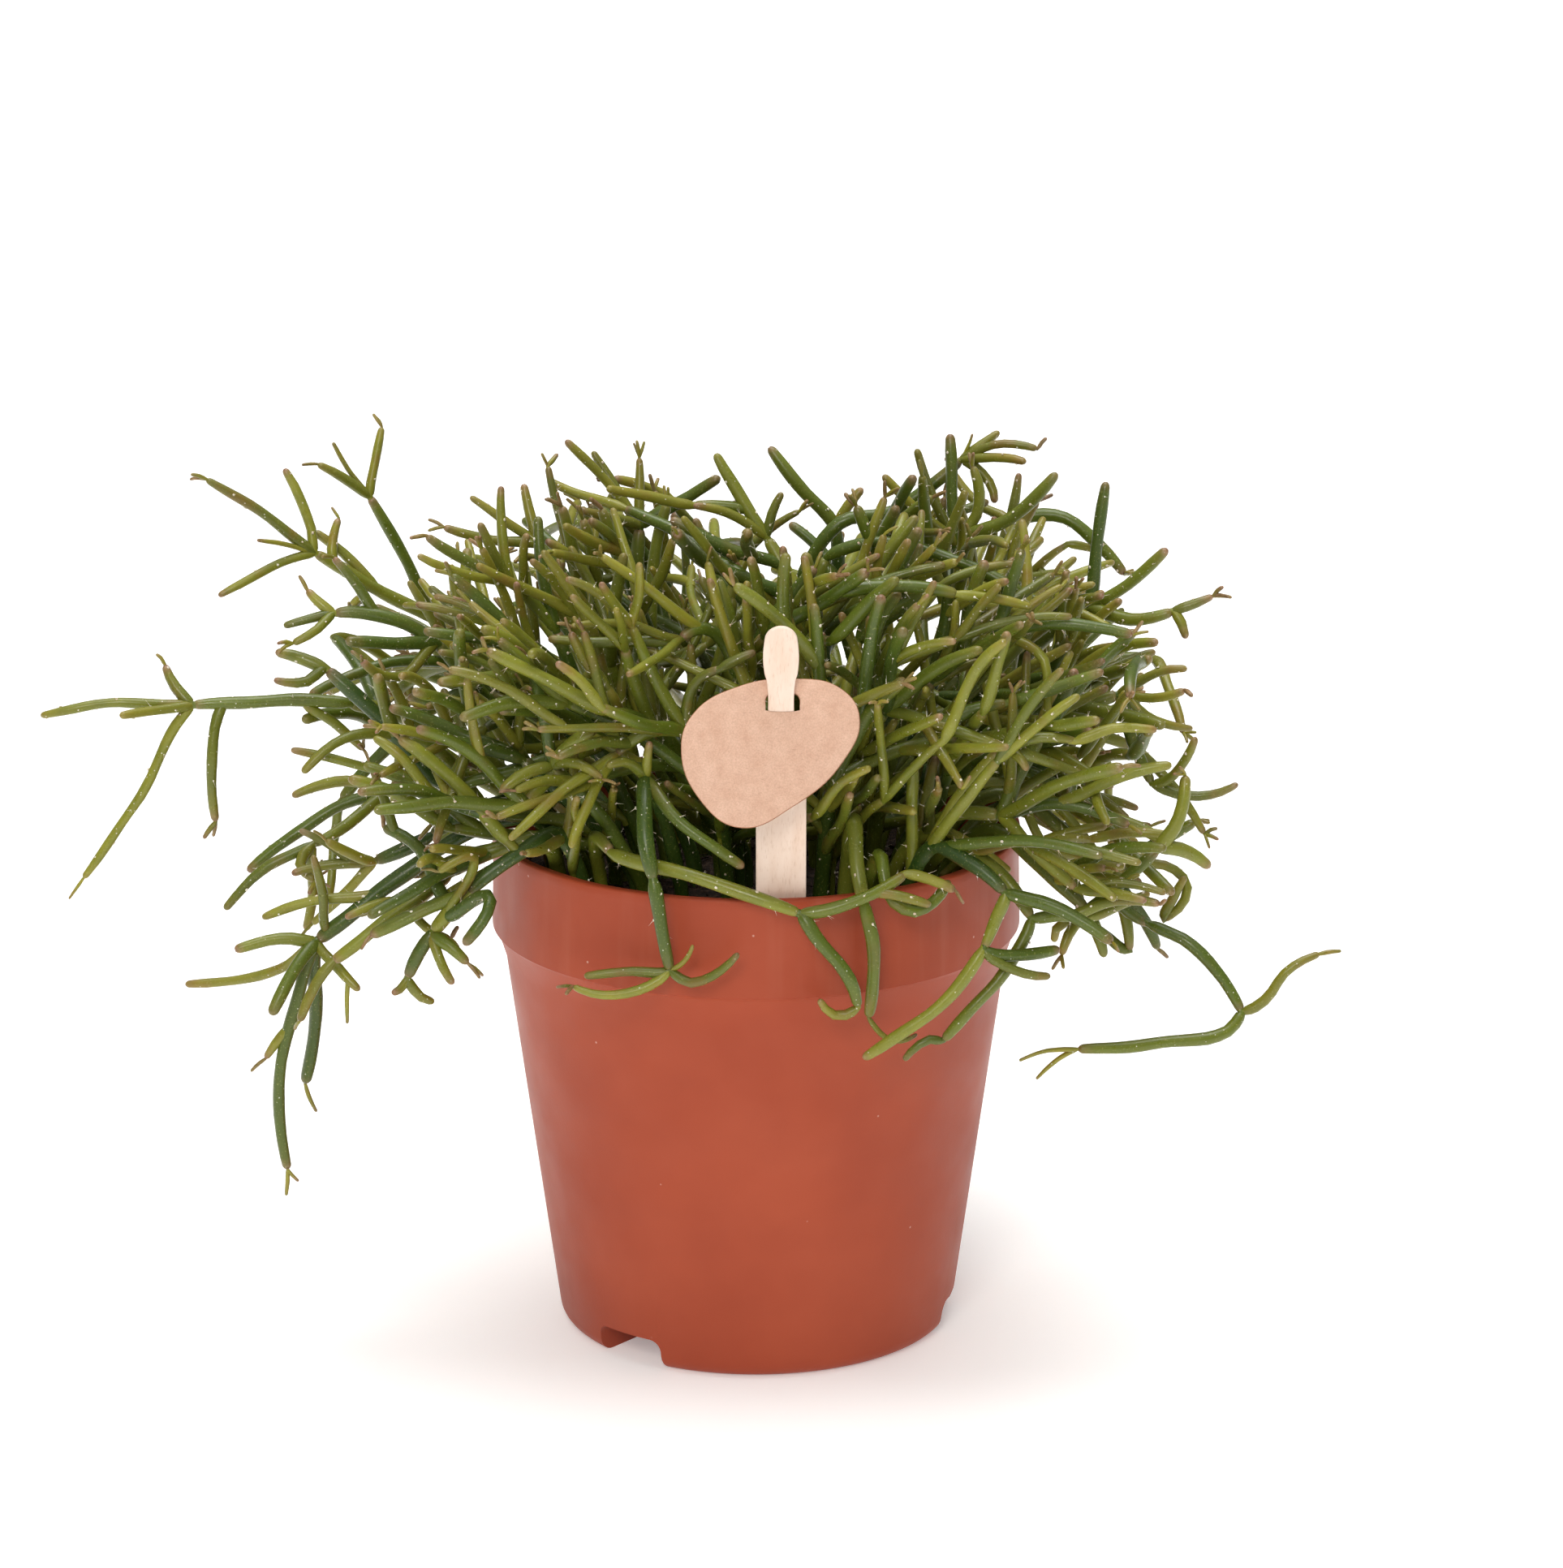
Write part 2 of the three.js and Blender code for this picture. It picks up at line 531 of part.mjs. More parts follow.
/** A smooth line through `points`, leaving along `lead`, as points with steps that suit the bend. */
function bend(points, lead) {
  const last = points.length - 1;
  const ways = points.map((p, i) => {
    if (i === 0) return lead.clone();
    if (i === last) return null;
    return new THREE.Vector3().subVectors(points[i + 1], points[i - 1]).normalize();
  });
  const chord = new THREE.Vector3().subVectors(points[last], points[last - 1]).normalize();
  ways[last] = chord.clone().multiplyScalar(2).sub(ways[last - 1]).normalize();
  const line = [points[0].clone()];
  for (let i = 0; i < last; i += 1) {
    const span = new THREE.Vector3().subVectors(points[i + 1], points[i]);
    const length = span.length();
    const straight = span.clone().divideScalar(length);
    const [turnIn, turnOut] = [ways[i], ways[i + 1]].map((way) => Math.acos(Math.min(1, straight.dot(way))));
    const steps = Math.max(1, Math.min(STEM.maxSteps, Math.ceil((turnIn + turnOut) / STEM.stepTurn)));
    for (let k = 1; k <= steps; k += 1) {
      const t = k / steps;
      const p = points[i].clone().multiplyScalar(2 * t ** 3 - 3 * t ** 2 + 1);
      p.addScaledVector(ways[i], (t ** 3 - 2 * t ** 2 + t) * length);
      p.addScaledVector(points[i + 1], 3 * t ** 2 - 2 * t ** 3);
      p.addScaledVector(ways[i + 1], (t ** 3 - t ** 2) * length);
      line.push(p);
    }
  }
  return line;
}

/** The point at a fraction of a line's length, and the line's direction there. */
function along(line, fraction) {
  const lengths = line.slice(1).map((p, i) => p.distanceTo(line[i]));
  let rest = fraction * lengths.reduce((sum, l) => sum + l, 0);
  for (let i = 0; i < lengths.length; i += 1) {
    if (rest <= lengths[i] || i === lengths.length - 1) {
      const way = new THREE.Vector3().subVectors(line[i + 1], line[i]).normalize();
      return { at: line[i].clone().addScaledVector(way, Math.min(rest, lengths[i])), way };
    }
    rest -= lengths[i];
  }
  return null;
}

/** Points every few millimetres along a shoot, with its radius there. */
function samplesOf(line, { base, tip }) {
  const total = line.slice(1).reduce((sum, p, i) => sum + p.distanceTo(line[i]), 0);
  const count = Math.max(2, Math.ceil(total / STEM.sampleStep));
  const samples = [];
  for (let k = 0; k <= count; k += 1) {
    samples.push({ at: along(line, k / count).at, radius: base + (tip - base) * (k / count) });
  }
  return samples;
}

/** Whether a stem's cross-section is clear of the pot, the soil and the floor. */
function clearOfPot({ at, radius }) {
  const reach = Math.hypot(at.x, at.y);
  const room = radius + STEM.gap;
  if (at.z < STEM.aboveFloor + room) return false;
  if (at.z > POT.height + room) return true;
  if (reach < collarInside - room) return at.z > SOIL.top + STEM.aboveSoil + room;
  const taper = (POT.wallTopRadius - POT.footRadius) / collarBottom;
  const outer = at.z > collarBottom - 2 ? POT.rimRadius : POT.footRadius + taper * at.z;
  return reach > outer + GAP + room;
}

const stakeLean = THREE.MathUtils.degToRad(STAKE.lean);
const tagTilt = THREE.MathUtils.degToRad(TAG.tilt);
const stakePlane = (z) => STAKE.rimY - (z - POT.height) * Math.tan(stakeLean);
const slotZ = POT.height + TAG.slotAlong * Math.cos(stakeLean);

/** Whether a stem's cross-section is clear of the label's stake and tag. */
function clearOfLabel({ at, radius }) {
  const room = radius + STEM.labelGap;
  const besideStake = Math.abs(at.x - STAKE.x) > STAKE.width / 2 + room;
  const offStake = Math.abs(at.y - stakePlane(at.z)) > STAKE.thickness / 2 + room;
  const stakeTop = POT.height + STAKE.top;
  if (!besideStake && !offStake && at.z < stakeTop + room) return false;
  const across = Math.abs(at.x - STAKE.x - TAG.middle[0]);
  const up = Math.abs(at.z - slotZ - TAG.middle[1]);
  if (across > TAG.half[0] + room || up > TAG.half[1] + room) return true;
  const tagY = stakePlane(slotZ) - (slotZ - at.z) * Math.tan(tagTilt);
  return Math.abs(at.y - tagY) > TAG.thickness / 2 + GAP + room;
}

const placed = []; // cross-sections of every stem so far: { at, radius, spray }

/** Whether a new shoot is clear of everything but the joint that it grows from. */
function isClear(samples, spray, joint) {
  for (const sample of samples) {
    const nearJoint = sample.at.distanceTo(joint) < STEM.jointReach;
    if (!clearOfPot(sample) || !clearOfLabel(sample)) return false;
    for (const other of placed) {
      if (other.spray === spray && (nearJoint || other.at.distanceTo(joint) < STEM.jointReach)) continue;
      if (other.at.distanceTo(sample.at) < other.radius + sample.radius + STEM.gap) return false;
    }
  }
  return true;
}

/** A shoot's first points and direction: up out of the soil, or out of the shoot that it springs from. */
function startOf(root, shoots, parent) {
  if (parent === 0) {
    const [x, y] = root;
    return { at: new THREE.Vector3(x, y, SOIL.top + SOIL.crown), way: new THREE.Vector3(0, 0, 1) };
  }
  const stem = shoots[Math.ceil(parent) - 1];
  return stem ? along(stem.line, parent % 1 || 1) : null;
}

/** Tries a shoot through `points` and returns it if it is clear. */
function tryShoot(spray, root, shoots, parent, age, points) {
  const start = startOf(root, shoots, parent);
  if (!start) return null;
  const toward = new THREE.Vector3().subVectors(points[0], start.at).normalize();
  const lead = parent === 0 ? start.way : toward.addScaledVector(start.way, 0.5).normalize();
  const line = bend([start.at, ...points], lead);
  const samples = samplesOf(line, AGES[age]);
  const inHole = ({ at }) => at.z < start.at.z + STEM.sink && Math.hypot(at.x, at.y) < SOIL.rootReach;
  const open = parent === 0 ? samples.filter((sample) => !inHole(sample)) : samples;
  if (!isClear(open, spray, start.at)) return null;
  return { line, way: start.way, age, parent, root, samples };
}

/** Adds a shoot to its spray and to the cross-sections that later ones keep clear of. */
function keep(spray, shoots, shoot) {
  shoots.push(shoot);
  if (shoot) placed.push(...shoot.samples.map(({ at, radius }) => ({ at, radius, spray })));
}

/** A spray laid out by hand: each shoot slides in depth until it is clear, or is left out. */
function laidSpray(name, [root, ...rows]) {
  const shoots = [];
  for (const [parent, age, ...points] of rows) {
    const slid = shoots[Math.ceil(parent) - 1]?.slid ?? 0; // a shoot follows the one that it springs from
    let shoot = null;
    for (const slide of STEM.slides) {
      const route = points.map((p, i) => place(p, slid + (slide * (i + 1)) / points.length));
      shoot = tryShoot(name, root, shoots, parent, age, route);
      if (shoot) shoot.slid = slid + slide;
      if (shoot) break;
    }
    keep(name, shoots, shoot);
  }
  return shoots;
}

/** Whether a point is inside the dome of the plant. */
function inDome(p) {
  const reach = Math.hypot(p.x, p.y) / DOME.radius;
  return reach < 1 && p.z > DOME.low && p.z < DOME.top - DOME.shoulder * reach ** 3;
}

/** A spray that a rule grows from its root towards `azimuth`, radians from +X. */
function grownSpray(name, random, root, azimuth, rule) {
  const between = ([low, high]) => low + (high - low) * random();
  const shoots = [];
  const first = new THREE.Vector3(Math.cos(azimuth), Math.sin(azimuth), between(rule.rise));
  let tips = [{ parent: 0, way: first }];
  for (const level of rule.levels) {
    const next = [];
    for (const tip of tips) {
      const forks = Math.round(between(level.forks));
      for (let fork = 0; fork < forks; fork += 1) {
        for (let attempt = 0; attempt < rule.tries; attempt += 1) {
          const start = startOf(root, shoots, tip.parent);
          const spread = 2 * (tip.parent === 0 ? rule.rootSpread : rule.spread);
          const way = tip.way.clone().normalize();
          way.x += spread * (random() - 0.5);
          way.y += spread * (random() - 0.5);
          way.z += spread * (random() - rule.downward);
          way.normalize();
          const length = between(level.length);
          const end = start.at.clone().addScaledVector(way, length);
          end.z -= rule.droop * length;
          const middle = start.at.clone().addScaledVector(way, length / 2);
          middle.z += rule.arch * length;
          if (!inDome(end)) continue;
          const shoot = tryShoot(name, root, shoots, tip.parent, level.age, [middle, end]);
          if (!shoot) continue;
          keep(name, shoots, shoot);
          next.push({ parent: shoots.length, way: end.clone().sub(middle) });
          break;
        }
      }
    }
    tips = next;
  }
  return shoots;
}

/** Grows the sprays of one rule, each from its own azimuth, clear of the roots so far. */
function growSprays(prefix, rule, sprays, roots) {
  const random = draws(rule.seed);
  const [low, high] = rule.rootRadius;
  for (let i = 0; i < rule.count; i += 1) {
    const share = (i + 0.5) / rule.count;
    const azimuth = Math.PI * (rule.azimuth[0] + (rule.azimuth[1] - rule.azimuth[0]) * share);
    const name = `${prefix}_${String(i + 1).padStart(2, "0")}`;
    for (let attempt = 0; attempt < rule.tries && !sprays.get(name)?.length; attempt += 1) {
      const reach = low + (high - low) * random();
      const root = [reach * Math.cos(azimuth), reach * Math.sin(azimuth)];
      if (roots.some(([x, y]) => Math.hypot(x - root[0], y - root[1]) < rule.rootSpacing)) continue;
      const turned = azimuth + rule.scatter * (random() - 0.5);
      sprays.set(name, grownSpray(name, random, root, turned, rule));
      if (sprays.get(name).length) roots.push(root);
    }
  }
}

/** All sprays by name, those laid out by hand first. */
function allSprays() {
  const sprays = new Map();
  for (const [name, rows] of Object.entries(SPRAYS)) sprays.set(name, laidSpray(name, rows));
  const roots = Object.values(SPRAYS).map(([root]) => root);
  for (const [prefix, rule] of Object.entries(GROWN_SPRAYS)) growSprays(prefix, rule, sprays, roots);
  return sprays;
}

/** One shoot as a solid: a cylinder bent along its line, narrow at its joint, sunk into its parent. */
function stemSolid({ line, way, age, parent }) {
  const { base, tip, sides } = AGES[age];
  const rooted = parent === 0;
  const first = line[0].clone().addScaledVector(way, rooted ? SOIL.holeBottom + GAP - line[0].z : -STEM.sink);
  const rings = [first, ...line.slice(rooted ? 0 : 1)];
  const steps = rings.length - 1;
  const geometry = new THREE.CylinderGeometry(1, 1, steps, sides, steps);
  const normal = new THREE.Vector3(1, 0, 0);
  const frames = rings.map((p, k) => {
    const before = rings[Math.max(0, k - 1)];
    const after = rings[Math.min(steps, k + 1)];
    const ahead = new THREE.Vector3().subVectors(after, before).normalize();
    if (k === 0 && Math.abs(ahead.x) > 0.8) normal.set(0, 1, 0);
    normal.addScaledVector(ahead, -normal.dot(ahead)).normalize();
    const share = k / steps;
    let radius = base + (tip - base) * share;
    if (k === 0 && !rooted) radius *= STEM.neck;
    if (k === steps) radius *= STEM.end;
    return { p, normal: normal.clone(), side: new THREE.Vector3().crossVectors(normal, ahead), radius };
  });
  const position = geometry.attributes.position;
  for (let i = 0; i < position.count; i += 1) {
    const { p, normal: n, side, radius } = frames[Math.round(position.getY(i) + steps / 2)];
    const capMiddle = Math.hypot(position.getX(i), position.getZ(i)) < 0.5; // goes to a corner: fewer faces
    const at = p.clone();
    at.addScaledVector(n, position.getX(i) * radius);
    at.addScaledVector(side, (capMiddle ? 1 : position.getZ(i)) * radius);
    position.setXYZ(i, at.x, at.y, at.z);
  }
  return toSolid(geometry);
}

// ---- soil -----------------------------------------------------------------------------------

/** The lumps of the soil's surface: two waves across each other and a finer slanting one. */
function lumps(x, y) {
  const broad = Math.sin(0.31 * x + 1.2) * Math.cos(0.27 * y);
  const fine = Math.sin(0.62 * y - 0.5 * x);
  return SOIL.lump * (broad + 0.5 * fine);
}

function makeSoil(roots) {
  const profile = potInner(GAP);
  const rim = profile[profile.length - 1][0];
  const surface = [rim, rim * 0.7, rim * 0.35, 0].map((r) => [r, SOIL.top]);
  const points = [...profile, ...surface].map(([r, z]) => new THREE.Vector2(r, z));
  const geometry = new THREE.LatheGeometry(points, SOIL.segments).rotateX(Math.PI / 2);
  geometry.scale(SOIL.fit, SOIL.fit, 1);
  const position = geometry.attributes.position;
  for (let i = 0; i < position.count; i += 1) {
    if (position.getZ(i) < SOIL.top - 0.01) continue;
    position.setZ(i, SOIL.top + lumps(position.getX(i), position.getY(i)));
  }
  let soil = toSolid(geometry);
  for (const angle of DRAIN.angles) {
    soil = soil.subtract(drainBlock(angle, DRAIN.roof + GAP));
  }
  const holeRadius = (AGES.old.base + GAP) / Math.cos(Math.PI / AGES.old.sides);
  const above = SOIL.top + 2 * SOIL.crown;
  for (const [x, y] of roots) {
    soil = soil.subtract(post(holeRadius, x, y, SOIL.holeBottom, above, AGES.old.sides));
  }
  return soil.subtract(stakeSlot());
}

// ---- label ----------------------------------------------------------------------------------

/** Puts a plate drawn upright (x across, y along the stake) where the stake stands. */
function onStake(geometry) {
  return geometry.rotateX(Math.PI / 2 + stakeLean).translate(STAKE.x, STAKE.rimY, POT.height);
}

/** A plate of a drawn shape, half its thickness to each side. */
function plate(shape, thickness, curveSegments) {
  const geometry = new THREE.ExtrudeGeometry(shape, { depth: thickness, bevelEnabled: false, curveSegments });
  return geometry.translate(0, 0, -thickness / 2);
}

/** The slot that the stake is pushed into. */
function stakeSlot() {
  const half = STAKE.width / 2 + GAP;
  const tip = STAKE.tipWidth / 2 + 2 * GAP;
  const point = STAKE.tip + STAKE.pointLength;
  const bottom = STAKE.tip - 3 * GAP;
  const shape = new THREE.Shape();
  shape.moveTo(-half, 0);
  shape.lineTo(-half, point);
  shape.lineTo(-tip, bottom);
  shape.lineTo(tip, bottom);
  shape.lineTo(half, point);
  shape.lineTo(half, 0);
  return toSolid(onStake(plate(shape, STAKE.thickness + 2 * GAP, 1)));
}

function makeStake() {
  const half = STAKE.width / 2;
  const tip = STAKE.tipWidth / 2;
  const neck = STAKE.neckWidth / 2;
  const head = STAKE.headWidth / 2;
  const point = STAKE.tip + STAKE.pointLength;
  const intoNeck = (STAKE.shoulder + STAKE.neckStart) / 2;
  const intoHead = (STAKE.neckEnd + STAKE.headStart) / 2;
  const shape = new THREE.Shape();
  shape.moveTo(-tip, STAKE.tip);
  shape.lineTo(tip, STAKE.tip);
  shape.lineTo(half, point);
  shape.lineTo(half, STAKE.shoulder);
  shape.bezierCurveTo(half, intoNeck, neck, intoNeck, neck, STAKE.neckStart);
  shape.lineTo(neck, STAKE.neckEnd);
  shape.quadraticCurveTo(neck, intoHead, head, STAKE.headStart);
  shape.lineTo(head, STAKE.top - head);
  shape.absarc(0, STAKE.top - head, head, 0, Math.PI);
  shape.lineTo(-head, STAKE.headStart);
  shape.quadraticCurveTo(-neck, intoHead, -neck, STAKE.neckEnd);
  shape.lineTo(-neck, STAKE.neckStart);
  shape.bezierCurveTo(-neck, intoNeck, -half, intoNeck, -half, STAKE.shoulder);
  shape.lineTo(-half, point);
  return toSolid(onStake(plate(shape, STAKE.thickness, 5)));
}

function makeTag() {
  const loop = new THREE.CatmullRomCurve3(TAG.outline.map(([x, y]) => new THREE.Vector3(x, y, 0)), true);
  const edge = loop.getPoints(TAG.outlineSteps).slice(1);
  const shape = new THREE.Shape(edge.map(({ x, y }) => new THREE.Vector2(x, y)));
  const [w, h] = [TAG.slotWidth / 2, TAG.slotHeight / 2];
  const corner = TAG.slotCorner;
  const slot = new THREE.Path();
  slot.moveTo(-w + corner, -h);
  slot.lineTo(w - corner, -h);
  slot.absarc(w - corner, corner - h, corner, -Math.PI / 2, 0);
  slot.absarc(w - corner, h - corner, corner, 0, Math.PI / 2);
  slot.absarc(corner - w, h - corner, corner, Math.PI / 2, Math.PI);
  slot.absarc(corner - w, corner - h, corner, Math.PI, 1.5 * Math.PI);
  shape.holes.push(slot);
  const geometry = plate(shape, TAG.thickness, 3);
  geometry.rotateX(Math.PI / 2 - tagTilt).translate(STAKE.x, stakePlane(slotZ), slotZ);
  return toSolid(geometry);
}

// ---- materials and the part -----------------------------------------------------------------

const finish = (color, roughness) => new THREE.MeshStandardMaterial({ color, roughness, metalness: 0 });
const moulded = finish(0xb0593f, 0.45);
const peat = finish(0x2b211b, 0.95);
const wood = finish(0xe3c29b, 0.7);
const board = finish(0xd3a27e, 0.85);
const stemGreen = finish(0x64822f, 0.5);

const cactus = new THREE.Group();
cactus.name = "mistletoe_cactus";
const sprays = allSprays();
const roots = [...sprays.values()].map((shoots) => shoots[0].root);
cactus.add(toMesh(makePot(), "pot", moulded));
cactus.add(toMesh(makeSoil(roots), "soil", peat));
cactus.add(toMesh(makeStake(), "label_stake", wood));
cactus.add(toMesh(makeTag(), "label_tag", board));
for (const [name, shoots] of sprays) {
  const stems = shoots.filter(Boolean).map(stemSolid);
  cactus.add(toMesh(stems.reduce((whole, stem) => whole.add(stem)), `spray_${name}`, stemGreen));
}

export default cactus;
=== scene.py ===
"""Looks of a potted mistletoe cactus: moulded nursery pot, peat, plant label and forking stems.

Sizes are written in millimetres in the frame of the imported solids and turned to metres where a
mesh is made. The stems grow by the same rule as the solids, so that each fine spray follows its
solid, and further twigs then sprout from them.
"""

from __future__ import annotations

import json
import logging
import math
from collections.abc import Callable, Sequence
from dataclasses import dataclass, field
from enum import Enum

import bmesh
import bpy
import numpy as np
from mathutils import Matrix, Vector, noise

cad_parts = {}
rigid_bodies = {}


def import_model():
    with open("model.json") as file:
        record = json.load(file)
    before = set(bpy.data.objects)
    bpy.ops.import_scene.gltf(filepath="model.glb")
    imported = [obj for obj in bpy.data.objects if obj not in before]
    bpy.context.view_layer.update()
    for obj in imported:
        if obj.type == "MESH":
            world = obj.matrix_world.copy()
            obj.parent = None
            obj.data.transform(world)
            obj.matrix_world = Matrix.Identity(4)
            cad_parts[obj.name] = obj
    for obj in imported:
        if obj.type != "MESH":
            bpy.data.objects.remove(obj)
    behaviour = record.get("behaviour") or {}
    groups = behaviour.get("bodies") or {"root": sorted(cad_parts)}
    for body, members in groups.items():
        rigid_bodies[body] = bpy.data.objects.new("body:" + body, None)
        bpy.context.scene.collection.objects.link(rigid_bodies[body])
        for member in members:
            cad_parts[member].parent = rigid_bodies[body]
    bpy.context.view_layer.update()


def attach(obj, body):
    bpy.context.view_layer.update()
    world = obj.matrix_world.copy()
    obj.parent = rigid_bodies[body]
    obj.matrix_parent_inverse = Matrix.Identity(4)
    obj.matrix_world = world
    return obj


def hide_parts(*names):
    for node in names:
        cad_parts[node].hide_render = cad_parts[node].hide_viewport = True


LOG = logging.getLogger("cactus")
MM = 0.001
UP = np.array([0.0, 0.0, 1.0])
Pair = tuple[float, float]
BMesh = bmesh.types.BMesh
Socket = bpy.types.NodeSocket


# ---- sizes shared by the pieces ----


@dataclass(frozen=True)
class PotSizes:
    """The pot's sizes in millimetres, from its underside up."""

    height: float = 118.0
    rim_radius: float = 60.0
    wall_top_radius: float = 57.3
    foot_radius: float = 45.6
    wall: float = 1.4
    floor: float = 1.6
    collar_bottom: float = 89.5
    collar_slope: float = 6.0
    foot: float = 4.0
    gap: float = 0.3

    @property
    def collar_inside(self) -> float:
        """Radius of the inside at the collar."""
        return self.rim_radius - self.wall - 0.2


@dataclass(frozen=True)
class SoilSizes:
    """The peat's sizes in millimetres."""

    top: float = 104.0
    lump: float = 1.1
    crown: float = 3.0
    root_reach: float = 55.0
    hole_bottom: float = 90.0


@dataclass(frozen=True)
class LabelSizes:
    """The plant label's sizes in millimetres.

    Lengths run along the stake from the height of the pot's rim.
    """

    x: float = 5.7
    width: float = 11.0
    thickness: float = 1.3
    lean: float = math.radians(9.0)
    rim_y: float = -55.9
    tip: float = -40.0
    tip_width: float = 2.0
    point_length: float = 13.0
    shoulder: float = 34.0
    neck_start: float = 40.0
    top: float = 64.3
    tag_thickness: float = 1.5
    tag_tilt: float = math.radians(20.0)
    slot_along: float = 44.6
    slot_height: float = 6.8
    slot_corner: float = 1.4
    middle: Pair = (-2.3, -9.0)
    half: Pair = (20.0, 17.0)
    outline: tuple[Pair, ...] = (
        (-21.6, -8), (-18.8, -0.6), (-9.8, 4.9), (3, 6.8), (13, 4.6), (17, -1.6),
        (13.4, -11.2), (2.6, -20.9), (-8.8, -25.5), (-17.4, -19.6),
    )

    def plane(self, z: float | np.ndarray) -> float | np.ndarray:
        """Depth of the stake's middle plane at height z."""
        return self.rim_y - (z - POT.height) * math.tan(self.lean)

    @property
    def slot_z(self) -> float:
        """Height of the tag's slot."""
        return POT.height + self.slot_along * math.cos(self.lean)


POT = PotSizes()
SOIL = SoilSizes()
LABEL = LabelSizes()


# ---- how the stems grow ----


class Age(Enum):
    """How old a shoot is, which sets its thickness and its colour."""

    OLD = "old"
    MID = "mid"
    YOUNG = "young"
    THIN = "thin"


OLD, MID, YOUNG, THIN = Age


@dataclass(frozen=True)
class Gauge:
    """A shoot's radius at its base and tip, how ripe its green is, and its number of sides."""

    base: float
    tip: float
    ripeness: float
    sides: int


GAUGES: dict[Age, Gauge] = {
    OLD: Gauge(1.8, 1.6, 1.0, 12),
    MID: Gauge(1.5, 1.3, 0.62, 11),
    YOUNG: Gauge(1.2, 0.95, 0.25, 10),
    THIN: Gauge(0.6, 0.45, 0.0, 6),
}
# Each age's place in the tables that give a range for every age, oldest first.
RANKS: dict[Age, int] = {age: rank for rank, age in enumerate(Age)}


@dataclass(frozen=True)
class StemRule:
    """Clearances and steps of the stems' growth, in millimetres and radians."""

    gap: float = 0.5
    above_floor: float = 4.0
    above_soil: float = 2.0
    label_gap: float = 0.8
    step_turn: float = 0.8
    max_steps: int = 3
    sink: float = 1.5
    joint_reach: float = 7.0
    thickest: float = 2.5
    collar_margin: float = 2.0
    lead_share: float = 0.5
    sample_step: float = 1.5
    fine_turn: float = 0.12
    fine_length: float = 5.0
    slides: tuple[float, ...] = (0, 3, -3, 6, -6, 9, -9, 13, -13, 17, -17)
    sight: tuple[float, float, float] = (5.8, -1343.0, 522.2)


@dataclass(frozen=True)
class Level:
    """One generation of a grown spray: its age, and ranges of its length and number of forks."""

    age: Age
    length: Pair
    forks: Pair


@dataclass(frozen=True)
class GrownRule:
    """How the sprays that no table lays out are rooted and grow."""

    count: int
    seed: int
    levels: tuple[Level, ...]
    tries: int = 30
    root_radius: Pair = (12.0, 48.0)
    root_spacing: float = 6.5
    azimuth: Pair = (-0.12, 1.12)
    scatter: float = 0.5
    rise: Pair = (0.7, 1.5)
    root_spread: float = 0.25
    spread: float = 0.95
    downward: float = 0.62
    arch: float = 0.04
    droop: float = 0.12


@dataclass(frozen=True)
class Dome:
    """The room that grown stems stay in."""

    radius: float = 104.0
    top: float = 192.0
    low: float = 92.0
    shoulder: float = 38.0
    front: float = -110.0

    def holds(self, p: np.ndarray) -> bool:
        """Tests a point.

        Args:
            p: The point.

        Returns:
            Whether it is inside.
        """
        reach = math.hypot(p[0], p[1]) / self.radius
        roof = self.top - self.shoulder * reach**3
        return reach < 1 and p[1] > self.front and self.low < p[2] < roof


STEM = StemRule()

# The sprays that grow by rule in the solids too: those of the back half, then those in the middle.
GROWN_SPRAYS: dict[str, GrownRule] = {
    "back": GrownRule(
        count=10,
        seed=20261,
        levels=(
            Level(OLD, (42, 56), (1, 1)),
            Level(MID, (30, 42), (2, 3)),
            Level(YOUNG, (20, 32), (0.6, 2)),
        ),
    ),
    "inner": GrownRule(
        count=8,
        seed=19,
        tries=40,
        root_radius=(6, 44),
        root_spacing=5,
        azimuth=(-1, 1),
        rise=(0.5, 2.2),
        levels=(Level(OLD, (38, 58), (1, 1)), Level(MID, (28, 42), (3, 4))),
    ),
}

